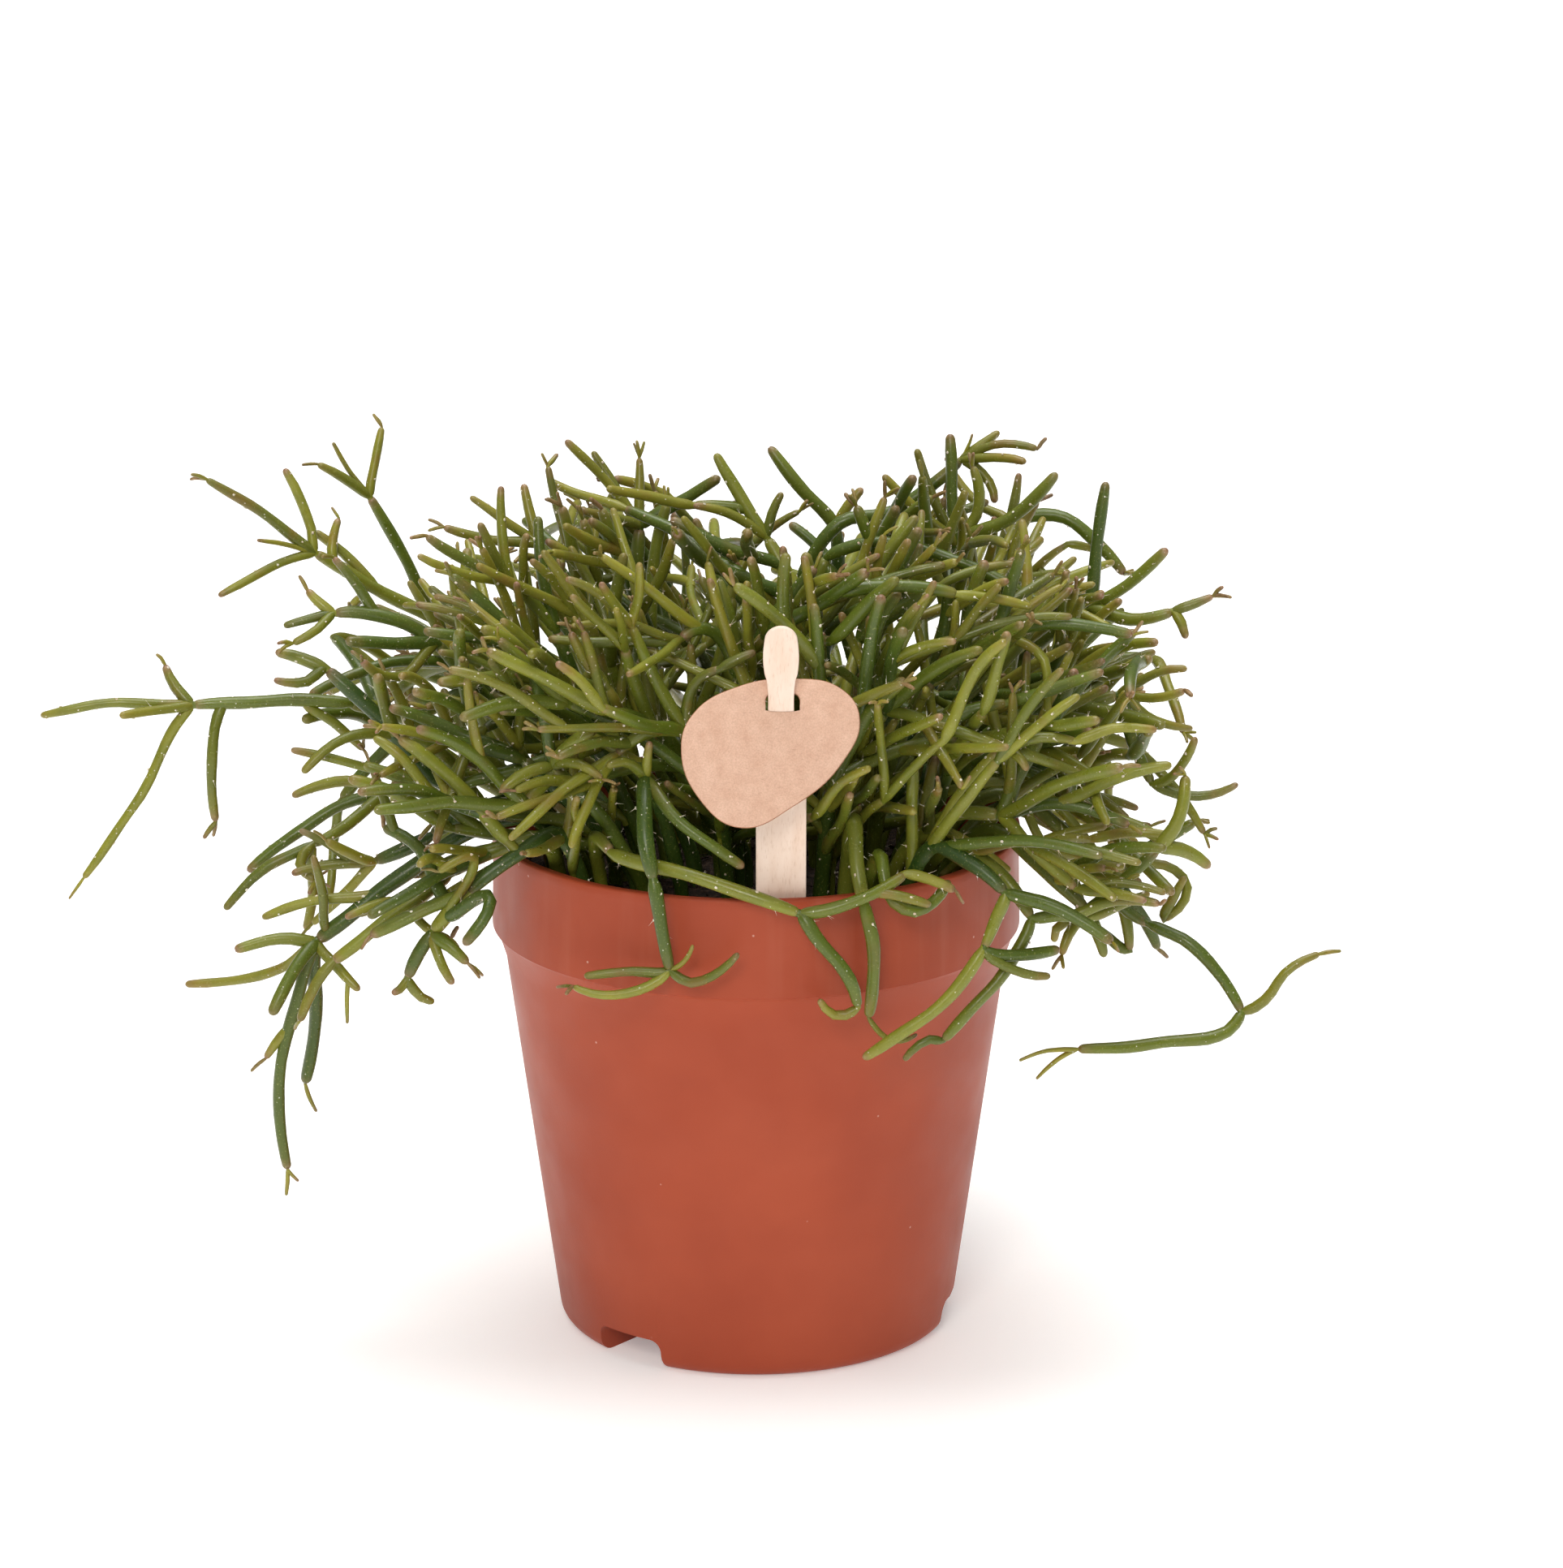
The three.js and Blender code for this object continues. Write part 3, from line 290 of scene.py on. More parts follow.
# Each spray: its root [x, y] in the peat, then its shoots [parent, age, point, ...]. Parent 0 is
# the root, 3 is the end of the third shoot, and 2.7 is seven tenths of the way along the third.
# A point is [x, h, y]: x and h on the upright plane y = 0 as seen from STEM.sight, and y its depth.
SPRAYS: dict[str, list] = {
    "front_drop": [[-16, -34],
        [0, OLD, [-21, 118, -40], [-25, 128, -47]],
        [1, OLD, [-25.5, 119, -56], [-23.5, 104, -61.5]], [2, MID, [-19.8, 82.5, -62.5]],
        [3, YOUNG, [-30, 76.5, -64], [-42, 78.5, -62]],
        [3, YOUNG, [-28, 82, -61.5], [-39.5, 81, -61]],
        [3, YOUNG, [-14, 79.5, -65], [-4, 86.5, -67]], [3, THIN, [-14.5, 88.5, -66]],
        [1, MID, [-17.5, 118, -56], [-9, 111.5, -58.5], [-2.8, 107, -58.5]],
        [1, YOUNG, [-29, 132, -50], [-34, 131, -53]], [1, YOUNG, [-24, 137, -49]]],
    "front_star": [[-24, -33],
        [0, MID, [-34, 117, -40], [-46, 131, -47]], [1, MID, [-53, 129, -50], [-58, 125, -52]],
        [1, YOUNG, [-40, 131.5, -52], [-35, 128, -54]],
        [1, MID, [-42, 136.5, -50], [-36, 140, -50]], [1, MID, [-48, 144, -46], [-52, 157.5, -44]]],
    "front_swag": [[-34, -30],
        [0, MID, [-37, 114, -40], [-33, 110.5, -50]], [1, MID, [-13, 104.5, -61], [10, 96, -65]],
        [2, MID, [22, 98.5, -64.5], [34, 105.5, -60]],
        [3, YOUNG, [40, 104, -60], [45.5, 101.5, -61]],
        [2, MID, [14, 90, -66.5], [21, 81, -66.5], [23.3, 73.5, -65]],
        [5, YOUNG, [18.5, 71.5, -65], [14.5, 75.5, -66]]],
    "front_right_drop": [[20, -38],
        [0, OLD, [22, 118, -48], [23, 108, -58], [24.5, 99, -62]],
        [1, MID, [27, 86, -63], [25.8, 71, -62]], [2, THIN, [31, 65.5, -62], [37, 67, -61]]],
    "rim_loop": [[24, -45],
        [0, MID, [28, 110, -53], [31, 99.5, -59.5], [37, 96.5, -59.5], [44, 104, -53]]],
    "right_ring": [[33, -40],
        [0, OLD, [40, 112, -47], [49, 108, -53], [57, 101, -57]],
        [1, MID, [54.5, 94, -58], [52, 87.5, -60]],
        [2, MID, [46, 78, -62], [36, 69, -63.5], [24.5, 61, -64]],
        [2, MID, [60, 86, -58], [69.5, 87.5, -54]], [2, YOUNG, [60, 82, -59], [67.5, 81, -57]]],
    "right_front": [[36, -32],
        [0, OLD, [44, 112, -38], [54, 107, -46], [63, 95, -52]],
        [1, MID, [58, 84, -56], [50, 73.5, -60], [43, 65.5, -61]],
        [2, YOUNG, [39, 65.5, -62], [34, 60.5, -62.5]], [1, MID, [69, 95.5, -52], [76, 95, -50]]],
    "front_left_hang": [[-38, -36],
        [0, OLD, [-44, 114, -40], [-54, 110.5, -49], [-66, 101, -53]], [1, OLD, [-74, 91.5, -54]],
        [2, MID, [-77, 87, -54], [-80, 80.5, -54]], [3, YOUNG, [-81.5, 78, -55], [-83.5, 77, -57]],
        [3, YOUNG, [-77, 76, -53], [-74, 75, -51]], [2, YOUNG, [-72.5, 85, -57], [-69.5, 79, -58]],
        [2, MID, [-70, 88, -57], [-66, 84, -58]], [1.6, MID, [-61, 100, -58], [-67, 88.5, -60]],
        [1.55, YOUNG, [-64, 109, -56], [-72.5, 106, -60]]],
    "left_trailer": [[-46, -18],
        [0, OLD, [-48, 117, -24], [-60, 117.5, -28], [-74, 110, -32]],
        [1, OLD, [-88, 99.5, -35], [-100.5, 89.5, -37]],
        [2, MID, [-106, 73, -38], [-110, 56, -38], [-108.5, 34, -36]], [3, THIN, [-109, 27.5, -35]],
        [3, THIN, [-106, 31, -37]], [2, MID, [-101, 72, -31], [-104, 55, -29]],
        [6, THIN, [-101.5, 48, -28]], [2, MID, [-106, 82, -43], [-111.5, 71.5, -48]],
        [2, MID, [-108, 90, -38], [-119.5, 87.3, -40]],
        [2, YOUNG, [-110, 82.5, -31], [-131, 79, -27]],
        [2, YOUNG, [-96, 83, -41], [-91, 77.5, -44]],
        [1.9, YOUNG, [-99, 101, -40], [-101, 110, -42]]],
    "left_bright": [[-44, -27],
        [0, OLD, [-48, 113, -38], [-58, 112, -42], [-70, 105.5, -45]],
        [1, MID, [-83, 95.5, -48], [-97, 84.5, -50]], [1, MID, [-78.5, 97.5, -42]],
        [3, YOUNG, [-84, 98.7, -44], [-94, 95, -48]], [3, YOUNG, [-76, 93, -44], [-70, 90, -46]],
        [2, YOUNG, [-101, 79, -51], [-105, 70, -52]]],
    "left_low": [[-40, -6],
        [0, OLD, [-50, 121.5, -10], [-62, 121.5, -14], [-74, 114.5, -17]],
        [1, OLD, [-87, 108.5, -18]], [2, YOUNG, [-97, 108, -18], [-106, 105.5, -20]],
        [2, YOUNG, [-92, 110, -23], [-98, 113.5, -26]],
        [2, YOUNG, [-93, 102, -15], [-101.5, 93.5, -12]]],
    "left_silver": [[-38, 8],
        [0, OLD, [-48, 124, 6], [-66, 130, 2], [-83, 125.5, 0]],
        [1, MID, [-97, 120.5, -2], [-116, 106, -6]], [1, MID, [-92, 118, -8], [-101, 112.5, -12]],
        [3, YOUNG, [-111, 107.5, -14], [-121.5, 97, -16]],
        [3, YOUNG, [-104, 108, -15], [-100.5, 104, -18]],
        [3, YOUNG, [-101, 102, -11], [-103, 92, -12]],
        [1, YOUNG, [-94, 127.5, 4], [-105.5, 124, 4]]],
    "left_thick": [[-38, -12],
        [0, OLD, [-48, 118, -16], [-60, 121, -20], [-72, 127, -23]],
        [1, OLD, [-84, 141, -24], [-97, 154, -22]], [2, MID, [-108.5, 158, -20]],
        [2, YOUNG, [-102, 151, -26], [-109, 151.5, -28]],
        [1.4, YOUNG, [-92, 138, -30], [-103, 129.5, -34]],
        [1, YOUNG, [-88, 131, -28], [-105.5, 135, -32]]],
    "left_reach": [[-30, 4],
        [0, OLD, [-50, 124, 6], [-74, 140, 6], [-92, 146, 2]],
        [1, MID, [-110, 146.5, 0], [-127.5, 145.5, -2]],
        [2, YOUNG, [-144, 146, -4], [-162, 143, -4]], [2, YOUNG, [-133.5, 155, 2]],
        [2, YOUNG, [-137, 144, -6], [-144, 143, -10]],
        [2, YOUNG, [-140, 124, -4], [-153.5, 104.5, -6]], [6, THIN, [-157, 99.5, -6]],
        [1.8, YOUNG, [-123.5, 133, -4], [-123, 118, -4]]],
    "upper_left_a": [[-24, 34],
        [0, OLD, [-36, 130, 34], [-58, 156, 38], [-71, 165, 36]],
        [1, MID, [-84, 172, 32], [-99, 181, 26]], [2, YOUNG, [-110.5, 190, 24], [-123, 198, 22]],
        [2, YOUNG, [-110, 177, 22], [-121, 171, 18]],
        [2, YOUNG, [-100, 188, 28], [-105.5, 200.5, 30]], [2, THIN, [-112, 184, 20]],
        [1.85, YOUNG, [-93.5, 189, 32]]],
    "upper_left_b": [[-15, 45],
        [0, OLD, [-22, 138, 48], [-50, 155, 52], [-72, 165, 49]],
        [1, MID, [-78, 178, 46], [-86.5, 194, 44]], [2, YOUNG, [-85, 202, 46], [-83.5, 210, 48]],
        [2, YOUNG, [-98, 201.5, 40]], [2, THIN, [-91, 200, 44], [-94.5, 206.5, 44]]],
    "left_mid": [[-32, -2],
        [0, OLD, [-44, 128, 2], [-60, 146, -2], [-72, 160, -4]],
        [1, MID, [-82, 166, -6], [-95, 167, -8]], [2, YOUNG, [-106.5, 164, -10]],
        [2, YOUNG, [-101, 172.5, -6]], [2, YOUNG, [-99, 163, -12], [-104.5, 160, -14]],
        [1, MID, [-82, 160, -10], [-92.5, 160.5, -16]],
        [1, YOUNG, [-80, 152, -12], [-89, 156, -20]]],
    "right_trailer": [[40, -6],
        [0, OLD, [52, 124, -8], [66, 119, -9], [76, 107, -10]],
        [1, MID, [84, 97.5, -12], [90, 93.5, -14]], [2, MID, [101, 87.5, -18], [111.5, 72.5, -22]],
        [3, YOUNG, [117, 75.5, -22], [121.5, 82, -22], [129, 86.3, -20]], [4, THIN, [134, 87, -19]],
        [3, MID, [107, 67, -25], [92, 64.6, -28], [74, 63.3, -31]],
        [6, THIN, [67, 62.8, -33], [60.5, 60.5, -34]], [6, THIN, [69, 60.5, -30], [64.5, 56, -30]]],
    "right_thick": [[42, -18],
        [0, OLD, [52, 116, -24], [64, 108, -33], [75.5, 97, -40]],
        [1, MID, [84, 104, -43], [91.5, 111.5, -43]], [2, MID, [96, 118, -42], [97.5, 129, -40]],
        [2, MID, [98, 111, -40], [103.5, 107, -38]], [1, MID, [79.8, 85.5, -42]],
        [1, YOUNG, [72, 92, -45], [70, 86, -47]], [1, YOUNG, [69, 93, -42], [68.5, 89.5, -40]]],
    "right_bright": [[30, -24],
        [0, OLD, [40, 117, -34], [55.5, 119.5, -42]], [1, MID, [68, 122.3, -46], [85, 117, -49]],
        [1, MID, [62, 112.5, -48], [73, 102, -51]], [1, OLD, [59, 128, -42], [64.5, 138, -40]]],
    "right_knot": [[44, -2],
        [0, OLD, [56, 121, -2], [70, 116, -4], [80, 106, -8]],
        [1, MID, [84, 97, -14], [85.5, 87, -18]], [1, MID, [88, 96, -10], [92, 87.5, -12]],
        [1, YOUNG, [92, 108, -10], [98.5, 102, -12], [93, 94.5, -14]],
        [1, MID, [90, 112, -6], [100, 118, -6]]],
    "long_arch": [[14, 10],
        [0, OLD, [10, 138, 10], [10, 160, 8], [16, 180, 6]],
        [1, MID, [30, 183.5, 3], [48, 178, -1], [62, 170.5, -5]], [2, MID, [76.5, 164, -8]]],
    "high_arch": [[3, 34],
        [0, OLD, [6, 150, 36], [10, 175, 34]],
        [1, MID, [19, 188, 34], [31, 191, 36], [46, 202.5, 38]], [2, YOUNG, [54.5, 209, 40]],
        [2, YOUNG, [54, 206, 36], [63, 205, 34]], [2, YOUNG, [60.5, 202, 30]],
        [2, YOUNG, [52, 198, 36], [53.5, 192.5, 34]], [2, THIN, [48.5, 208.5, 38]]],
    "right_crown": [[26, 20],
        [0, OLD, [36, 140, 26], [44, 165, 28], [45, 183, 30]],
        [1, MID, [44, 196, 32], [43.5, 208.5, 34]], [1, YOUNG, [40, 193, 28], [36, 205, 26]],
        [1, YOUNG, [37, 190, 24], [28.5, 199, 22]], [1, MID, [50, 191, 32], [48.5, 201, 34]],
        [1, MID, [57, 189, 26], [67.5, 199.5, 24]]],
    "right_top": [[38, 14],
        [0, OLD, [46, 136, 16], [62, 158, 16], [75, 168, 14]],
        [1, MID, [76.5, 182, 16], [78.5, 197.5, 18]], [1, MID, [84, 174, 12], [92.5, 182, 10]],
        [1, MID, [85, 165.5, 8], [94, 167.5, 6]], [4, YOUNG, [103, 171, 6]],
        [4, YOUNG, [97, 161, 4]]],
    "right_far": [[19, 45],
        [0, OLD, [31, 139, 47], [50, 168, 55], [57, 188, 58]],
        [1, MID, [68, 189.5, 56], [77, 183, 54], [83, 176, 52]], [1, YOUNG, [59, 199.5, 60]],
        [1, YOUNG, [50, 192, 64], [44, 200, 68]]],
    "right_mid": [[26, -16],
        [0, OLD, [30, 130, -24], [40, 151.5, -32]], [1, MID, [47, 157, -34], [54, 162, -36]],
        [2, MID, [57, 172, -35], [60, 182, -34]], [2, MID, [68, 164.5, -40], [85, 162, -42]],
        [2, YOUNG, [64.5, 157, -42], [66, 150, -44], [65.5, 140, -46]],
        [1, YOUNG, [44, 160, -38], [45, 170, -42]]],
    "right_tips": [[42, 6],
        [0, OLD, [54, 128, 0], [68, 141, -4], [82, 148, -6]],
        [1, YOUNG, [90, 153, -8], [97.5, 154, -10]], [1, YOUNG, [90, 147, -10], [97, 149, -13]],
        [1, MID, [85, 138, -8], [90, 127, -10]], [4, YOUNG, [95, 129, -12], [99.7, 138, -14]],
        [4, YOUNG, [101, 124, -11], [109.5, 127, -12]], [1, YOUNG, [90, 142, -4], [99, 140, -2]]],
    "dark_front": [[16, -28],
        [0, OLD, [20, 128, -38], [29.5, 144, -44]], [1, MID, [42, 140.5, -50], [56.5, 135.5, -53]],
        [2, YOUNG, [64, 138, -55], [72.5, 137, -55]], [2, YOUNG, [60, 133, -57], [61.5, 130, -58]],
        [1, MID, [26, 158, -44], [32.5, 172, -43]]],
    "crown_mid": [[8, -4],
        [0, OLD, [15, 136, -6], [14.5, 164.5, -4]], [1, OLD, [8, 175, -1], [2.5, 184.5, 2]],
        [2, MID, [-3, 193, 4], [-9, 204, 6]], [2, YOUNG, [6, 195, 3]],
        [2, YOUNG, [-6, 190, 0], [-14, 192, -2]],
        [1, YOUNG, [21, 172, -8], [25.5, 184, -8], [29, 194, -7]]],
    "crown_back": [[8, 48],
        [0, OLD, [12, 145, 52], [18, 170, 54], [18, 187, 54]],
        [1, MID, [11, 195, 54], [3, 205.5, 56]], [1, YOUNG, [24, 196, 54]]],
    "crown_left": [[-12, 21],
        [0, OLD, [-22, 132, 24], [-26.5, 160, 27], [-26, 187, 30]],
        [1, YOUNG, [-34, 198, 30], [-42.5, 207, 30]],
        [1, YOUNG, [-31.5, 196, 34], [-36.5, 204.5, 36]], [1, YOUNG, [-26, 203, 34]],
        [1, YOUNG, [-33, 189, 24], [-39.5, 191, 20]], [1, MID, [-15, 194, 30], [-8, 198.5, 28]]],
    "crown_left_b": [[-20, 0],
        [0, OLD, [-30, 136, 6], [-39, 169, 9]], [1, MID, [-48.5, 183, 12]],
        [2, YOUNG, [-60, 184, 10], [-70, 187, 8]], [2, YOUNG, [-57, 189, 12], [-64, 194, 12]],
        [2, YOUNG, [-52, 197, 16]], [1, YOUNG, [-43, 185, 14], [-46.5, 201, 16]]],
    "crown_left_c": [[-26, -8],
        [0, OLD, [-36, 136, -10], [-45, 163, -12]], [1, MID, [-55, 174, -14]],
        [2, YOUNG, [-65, 179, -16], [-74, 185, -18]],
        [2, YOUNG, [-66, 176, -20], [-76, 180.5, -22]],
        [2, YOUNG, [-57, 186, -12], [-57, 196.5, -10]], [2, YOUNG, [-62, 188, -14]]],
    "left_light": [[-26, -24],
        [0, OLD, [-38, 118, -30], [-53, 132.5, -36]], [1, MID, [-63, 136, -40], [-73, 137.5, -42]],
        [1, MID, [-68, 139.5, -34], [-83, 145, -36]]],
    "left_pale": [[-24, -16],
        [0, OLD, [-36, 136, -20], [-51.5, 159, -26]], [1, MID, [-60, 168, -28], [-68.5, 176, -29]],
        [1, MID, [-63, 161, -32], [-75, 163, -35]], [1, YOUNG, [-61, 167, -22], [-72.5, 171, -20]]],
    "front_leafy": [[-6, -28],
        [0, OLD, [-9, 122, -36], [-16, 139, -43]], [1, MID, [-24, 139.5, -49], [-31.5, 134, -52]],
        [1, MID, [-22, 150, -46], [-28, 164, -46]], [1, YOUNG, [-14, 150, -44], [-8, 154, -46]]],
    "centre_arch": [[-4, -18],
        [0, OLD, [-6, 135, -24], [-4, 152, -28]], [1, MID, [-10, 163, -32], [-17, 161, -36]],
        [1, MID, [2, 162, -34]]],
}


class Draws:
    """A seeded generator of numbers from 0 to 1."""

    MASK = 0xFFFFFFFF
    STRIDE = 0x6D2B79F5

    def __init__(self, seed: int) -> None:
        """Starts at `seed`."""
        self.state = seed & self.MASK

    def __call__(self) -> float:
        """Draws.

        Returns:
            The next number.
        """
        self.state = (self.state + self.STRIDE) & self.MASK
        t = self.state
        t = ((t ^ (t >> 15)) * (t | 1)) & self.MASK
        t ^= (t + ((t ^ (t >> 7)) * (t | 61) & self.MASK)) & self.MASK
        return (t ^ (t >> 14)) / (self.MASK + 1)

    def between(self, low: float, high: float) -> float:
        """A number from `low` to `high`."""
        return low + (high - low) * self()

    def pick(self, share: float) -> bool:
        """True in `share` of the draws."""
        return self() < share


def unit(v: np.ndarray) -> np.ndarray:
    """The direction of v."""
    return v / np.linalg.norm(v)


def place(point: Sequence[float], slide: float) -> np.ndarray:
    """Puts an elevation point in space.

    Args:
        point: Its x, h and depth y.
        slide: How far it slides on along its sight line.

    Returns:
        Its place.
    """
    x, h, y = point
    eye_x, eye_y, eye_z = STEM.sight
    depth = y + slide
    t = 1 - depth / eye_y
    return np.array([eye_x + (x - eye_x) * t, depth, eye_z + (h - eye_z) * t])


def elevation(points: np.ndarray) -> np.ndarray:
    """Shows points in space on the upright plane y = 0.

    Args:
        points: The points, one a row.

    Returns:
        Their x and h, one point a row.
    """
    eye_x, eye_y, eye_z = STEM.sight
    t = 1 - points[:, 1] / eye_y
    x = eye_x + (points[:, 0] - eye_x) / t
    h = eye_z + (points[:, 2] - eye_z) / t
    return np.stack([x, h], axis=1)


def coarse_steps(turn: float, _length: float) -> int:
    """Straight lengths that the solid's stem takes for a stretch that bends by `turn`."""
    return max(1, min(STEM.max_steps, math.ceil(turn / STEM.step_turn)))


def fine_steps(turn: float, length: float) -> int:
    """Straight lengths that the fine stem takes: short ones where it bends."""
    return max(2, math.ceil(turn / STEM.fine_turn), math.ceil(length / STEM.fine_length))


def bend(
    points: np.ndarray, lead: np.ndarray, steps_of: Callable[[float, float], int]
) -> np.ndarray:
    """A smooth line through points.

    Args:
        points: The points, one a row.
        lead: The direction in which it leaves the first.
        steps_of: Gives the number of steps for a stretch's bend and length.

    Returns:
        The line's points, one a row.
    """
    ways = np.array([lead] + [unit(b - a) for a, b in zip(points, points[2:])] + [lead])
    ways[-1] = unit(2 * unit(points[-1] - points[-2]) - ways[-2])
    line = [points[0]]
    for i in range(len(points) - 1):
        span = points[i + 1] - points[i]
        length = float(np.linalg.norm(span))
        straight = span / length
        turn = sum(math.acos(min(1.0, float(straight @ way))) for way in ways[i : i + 2])
        steps = steps_of(turn, length)
        for k in range(1, steps + 1):
            t = k / steps
            line.append(
                points[i] * (2 * t**3 - 3 * t**2 + 1)
                + ways[i] * ((t**3 - 2 * t**2 + t) * length)
                + points[i + 1] * (3 * t**2 - 2 * t**3)
                + ways[i + 1] * ((t**3 - t**2) * length)
            )
    return np.array(line)


def lengths_of(line: np.ndarray) -> np.ndarray:
    """How far along the line each of its points is."""
    steps = np.linalg.norm(np.diff(line, axis=0), axis=1)
    return np.concatenate([[0.0], np.cumsum(steps)])


def points_at(line: np.ndarray, stations: np.ndarray) -> np.ndarray:
    """The points of the line at these distances along it."""
    run = lengths_of(line)
    return np.stack([np.interp(stations, run, line[:, i]) for i in range(3)], axis=1)


def along(line: np.ndarray, fraction: float) -> tuple[np.ndarray, np.ndarray]:
    """Goes along a line.

    Args:
        line: The line's points, one a row.
        fraction: The share of its length to go.

    Returns:
        The point there and the line's direction.
    """
    run = lengths_of(line)
    rest = fraction * run[-1]
    i = min(int(np.searchsorted(run[1:], rest)), len(line) - 2)
    way = unit(line[i + 1] - line[i])
    return line[i] + way * min(rest - run[i], run[i + 1] - run[i]), way


@dataclass
class Shoot:
    """One shoot: its line, where and how it leaves its parent, and its cross-sections."""

    line: np.ndarray
    route: np.ndarray
    lead: np.ndarray
    way: np.ndarray
    age: Age
    parent: float
    samples: np.ndarray
    radii: np.ndarray
    slid: float = 0.0
    dry: float = 0.0
    thick: float = 1.0


@dataclass
class Spray:
    """A spray: its root in the peat and its shoots, None where one found no room."""

    name: str
    root: Sequence[float]
    shoots: list[Shoot | None] = field(default_factory=list)

    def start_of(self, parent: float) -> tuple[np.ndarray, np.ndarray] | None:
        """Finds where a shoot starts: out of the peat, or out of its parent.

        Args:
            parent: The shoot that it grows from, and how far along it.

        Returns:
            The place and the way there, or None where its parent is missing.
        """
        if parent == 0:
            return np.array([*self.root, SOIL.top + SOIL.crown]), UP
        stem = self.shoots[math.ceil(parent) - 1]
        return along(stem.line, parent % 1 or 1.0) if stem else None


class Thicket:
    """Cross-sections of every stem so far, which new ones keep clear of."""

    def __init__(self) -> None:
        """Starts empty."""
        self.shoots: list[tuple[str, np.ndarray, np.ndarray]] = []
        self.low = np.empty((0, 3))
        self.high = np.empty((0, 3))

    def add(self, spray: str, shoot: Shoot) -> None:
        """Takes in a shoot.

        Args:
            spray: Its spray's name.
            shoot: The shoot.
        """
        self.shoots.append((spray, shoot.samples, shoot.radii))
        self.low = np.vstack([self.low, shoot.samples.min(axis=0)])
        self.high = np.vstack([self.high, shoot.samples.max(axis=0)])

    def clear(
        self, spray: str, at: np.ndarray, radii: np.ndarray, joint: np.ndarray, gap: float
    ) -> bool:
        """Whether cross-sections are clear of all but the joint that they grow from.

        Args:
            spray: The spray that they belong to.
            at: Their middles, one a row.
            radii: Their radii.
            joint: The place that the shoot grows from.
            gap: The space that is left between stems.

        Returns:
            True if the pot, the peat, the label and all other stems are clear.
        """
        if len(at) == 0:
            return True
        if not (self.clear_of_pot(at, radii) & self.clear_of_label(at, radii)).all():
            return False
        reach = radii.max() + STEM.thickest + gap
        near = (self.high > at.min(axis=0) - reach) & (self.low < at.max(axis=0) + reach)
        close = [self.shoots[i] for i in np.flatnonzero(near.all(axis=1))]
        if not close:
            return True
        others = np.concatenate([samples for _, samples, _ in close])
        other_radii = np.concatenate([sizes for _, _, sizes in close])
        own = np.concatenate([np.full(len(sizes), name == spray) for name, _, sizes in close])
        at_joint = np.linalg.norm(at - joint, axis=1) < STEM.joint_reach
        other_at_joint = np.linalg.norm(others - joint, axis=1) < STEM.joint_reach
        free = own[None, :] & (at_joint[:, None] | other_at_joint[None, :])
        apart = np.linalg.norm(at[:, None] - others[None], axis=2)
        touching = apart < radii[:, None] + other_radii[None] + gap
        return not (touching & ~free).any()

    @staticmethod
    def clear_of_pot(at: np.ndarray, radii: np.ndarray) -> np.ndarray:
        """Tests cross-sections against the pot, the peat and the ground.

        Args:
            at: Their middles, one a row.
            radii: Their radii.

        Returns:
            Which of them are clear.
        """
        reach = np.hypot(at[:, 0], at[:, 1])
        z = at[:, 2]
        room = radii + STEM.gap
        taper = (POT.wall_top_radius - POT.foot_radius) / POT.collar_bottom
        at_collar = z > POT.collar_bottom - STEM.collar_margin
        outer = np.where(at_collar, POT.rim_radius, POT.foot_radius + taper * z)
        inside = reach < POT.collar_inside - room
        over_soil = z > SOIL.top + STEM.above_soil + room
        clear = np.where(inside, over_soil, reach > outer + POT.gap + room)
        return ((z > POT.height + room) | clear) & (z >= STEM.above_floor + room)

    @staticmethod
    def clear_of_label(at: np.ndarray, radii: np.ndarray) -> np.ndarray:
        """Tests cross-sections against the label's stake and tag.

        Args:
            at: Their middles, one a row.
            radii: Their radii.

        Returns:
            Which of them are clear.
        """
        x, y, z = at.T
        room = radii + STEM.label_gap
        beside = np.abs(x - LABEL.x) > LABEL.width / 2 + room
        off = np.abs(y - LABEL.plane(z)) > LABEL.thickness / 2 + room
        above = z >= POT.height + LABEL.top + room
        across = np.abs(x - LABEL.x - LABEL.middle[0]) > LABEL.half[0] + room
        beyond = across | (np.abs(z - LABEL.slot_z - LABEL.middle[1]) > LABEL.half[1] + room)
        tag_y = LABEL.plane(LABEL.slot_z) - (LABEL.slot_z - z) * math.tan(LABEL.tag_tilt)
        off_tag = np.abs(y - tag_y) > LABEL.tag_thickness / 2 + POT.gap + room
        return (beside | off | above) & (beyond | off_tag)


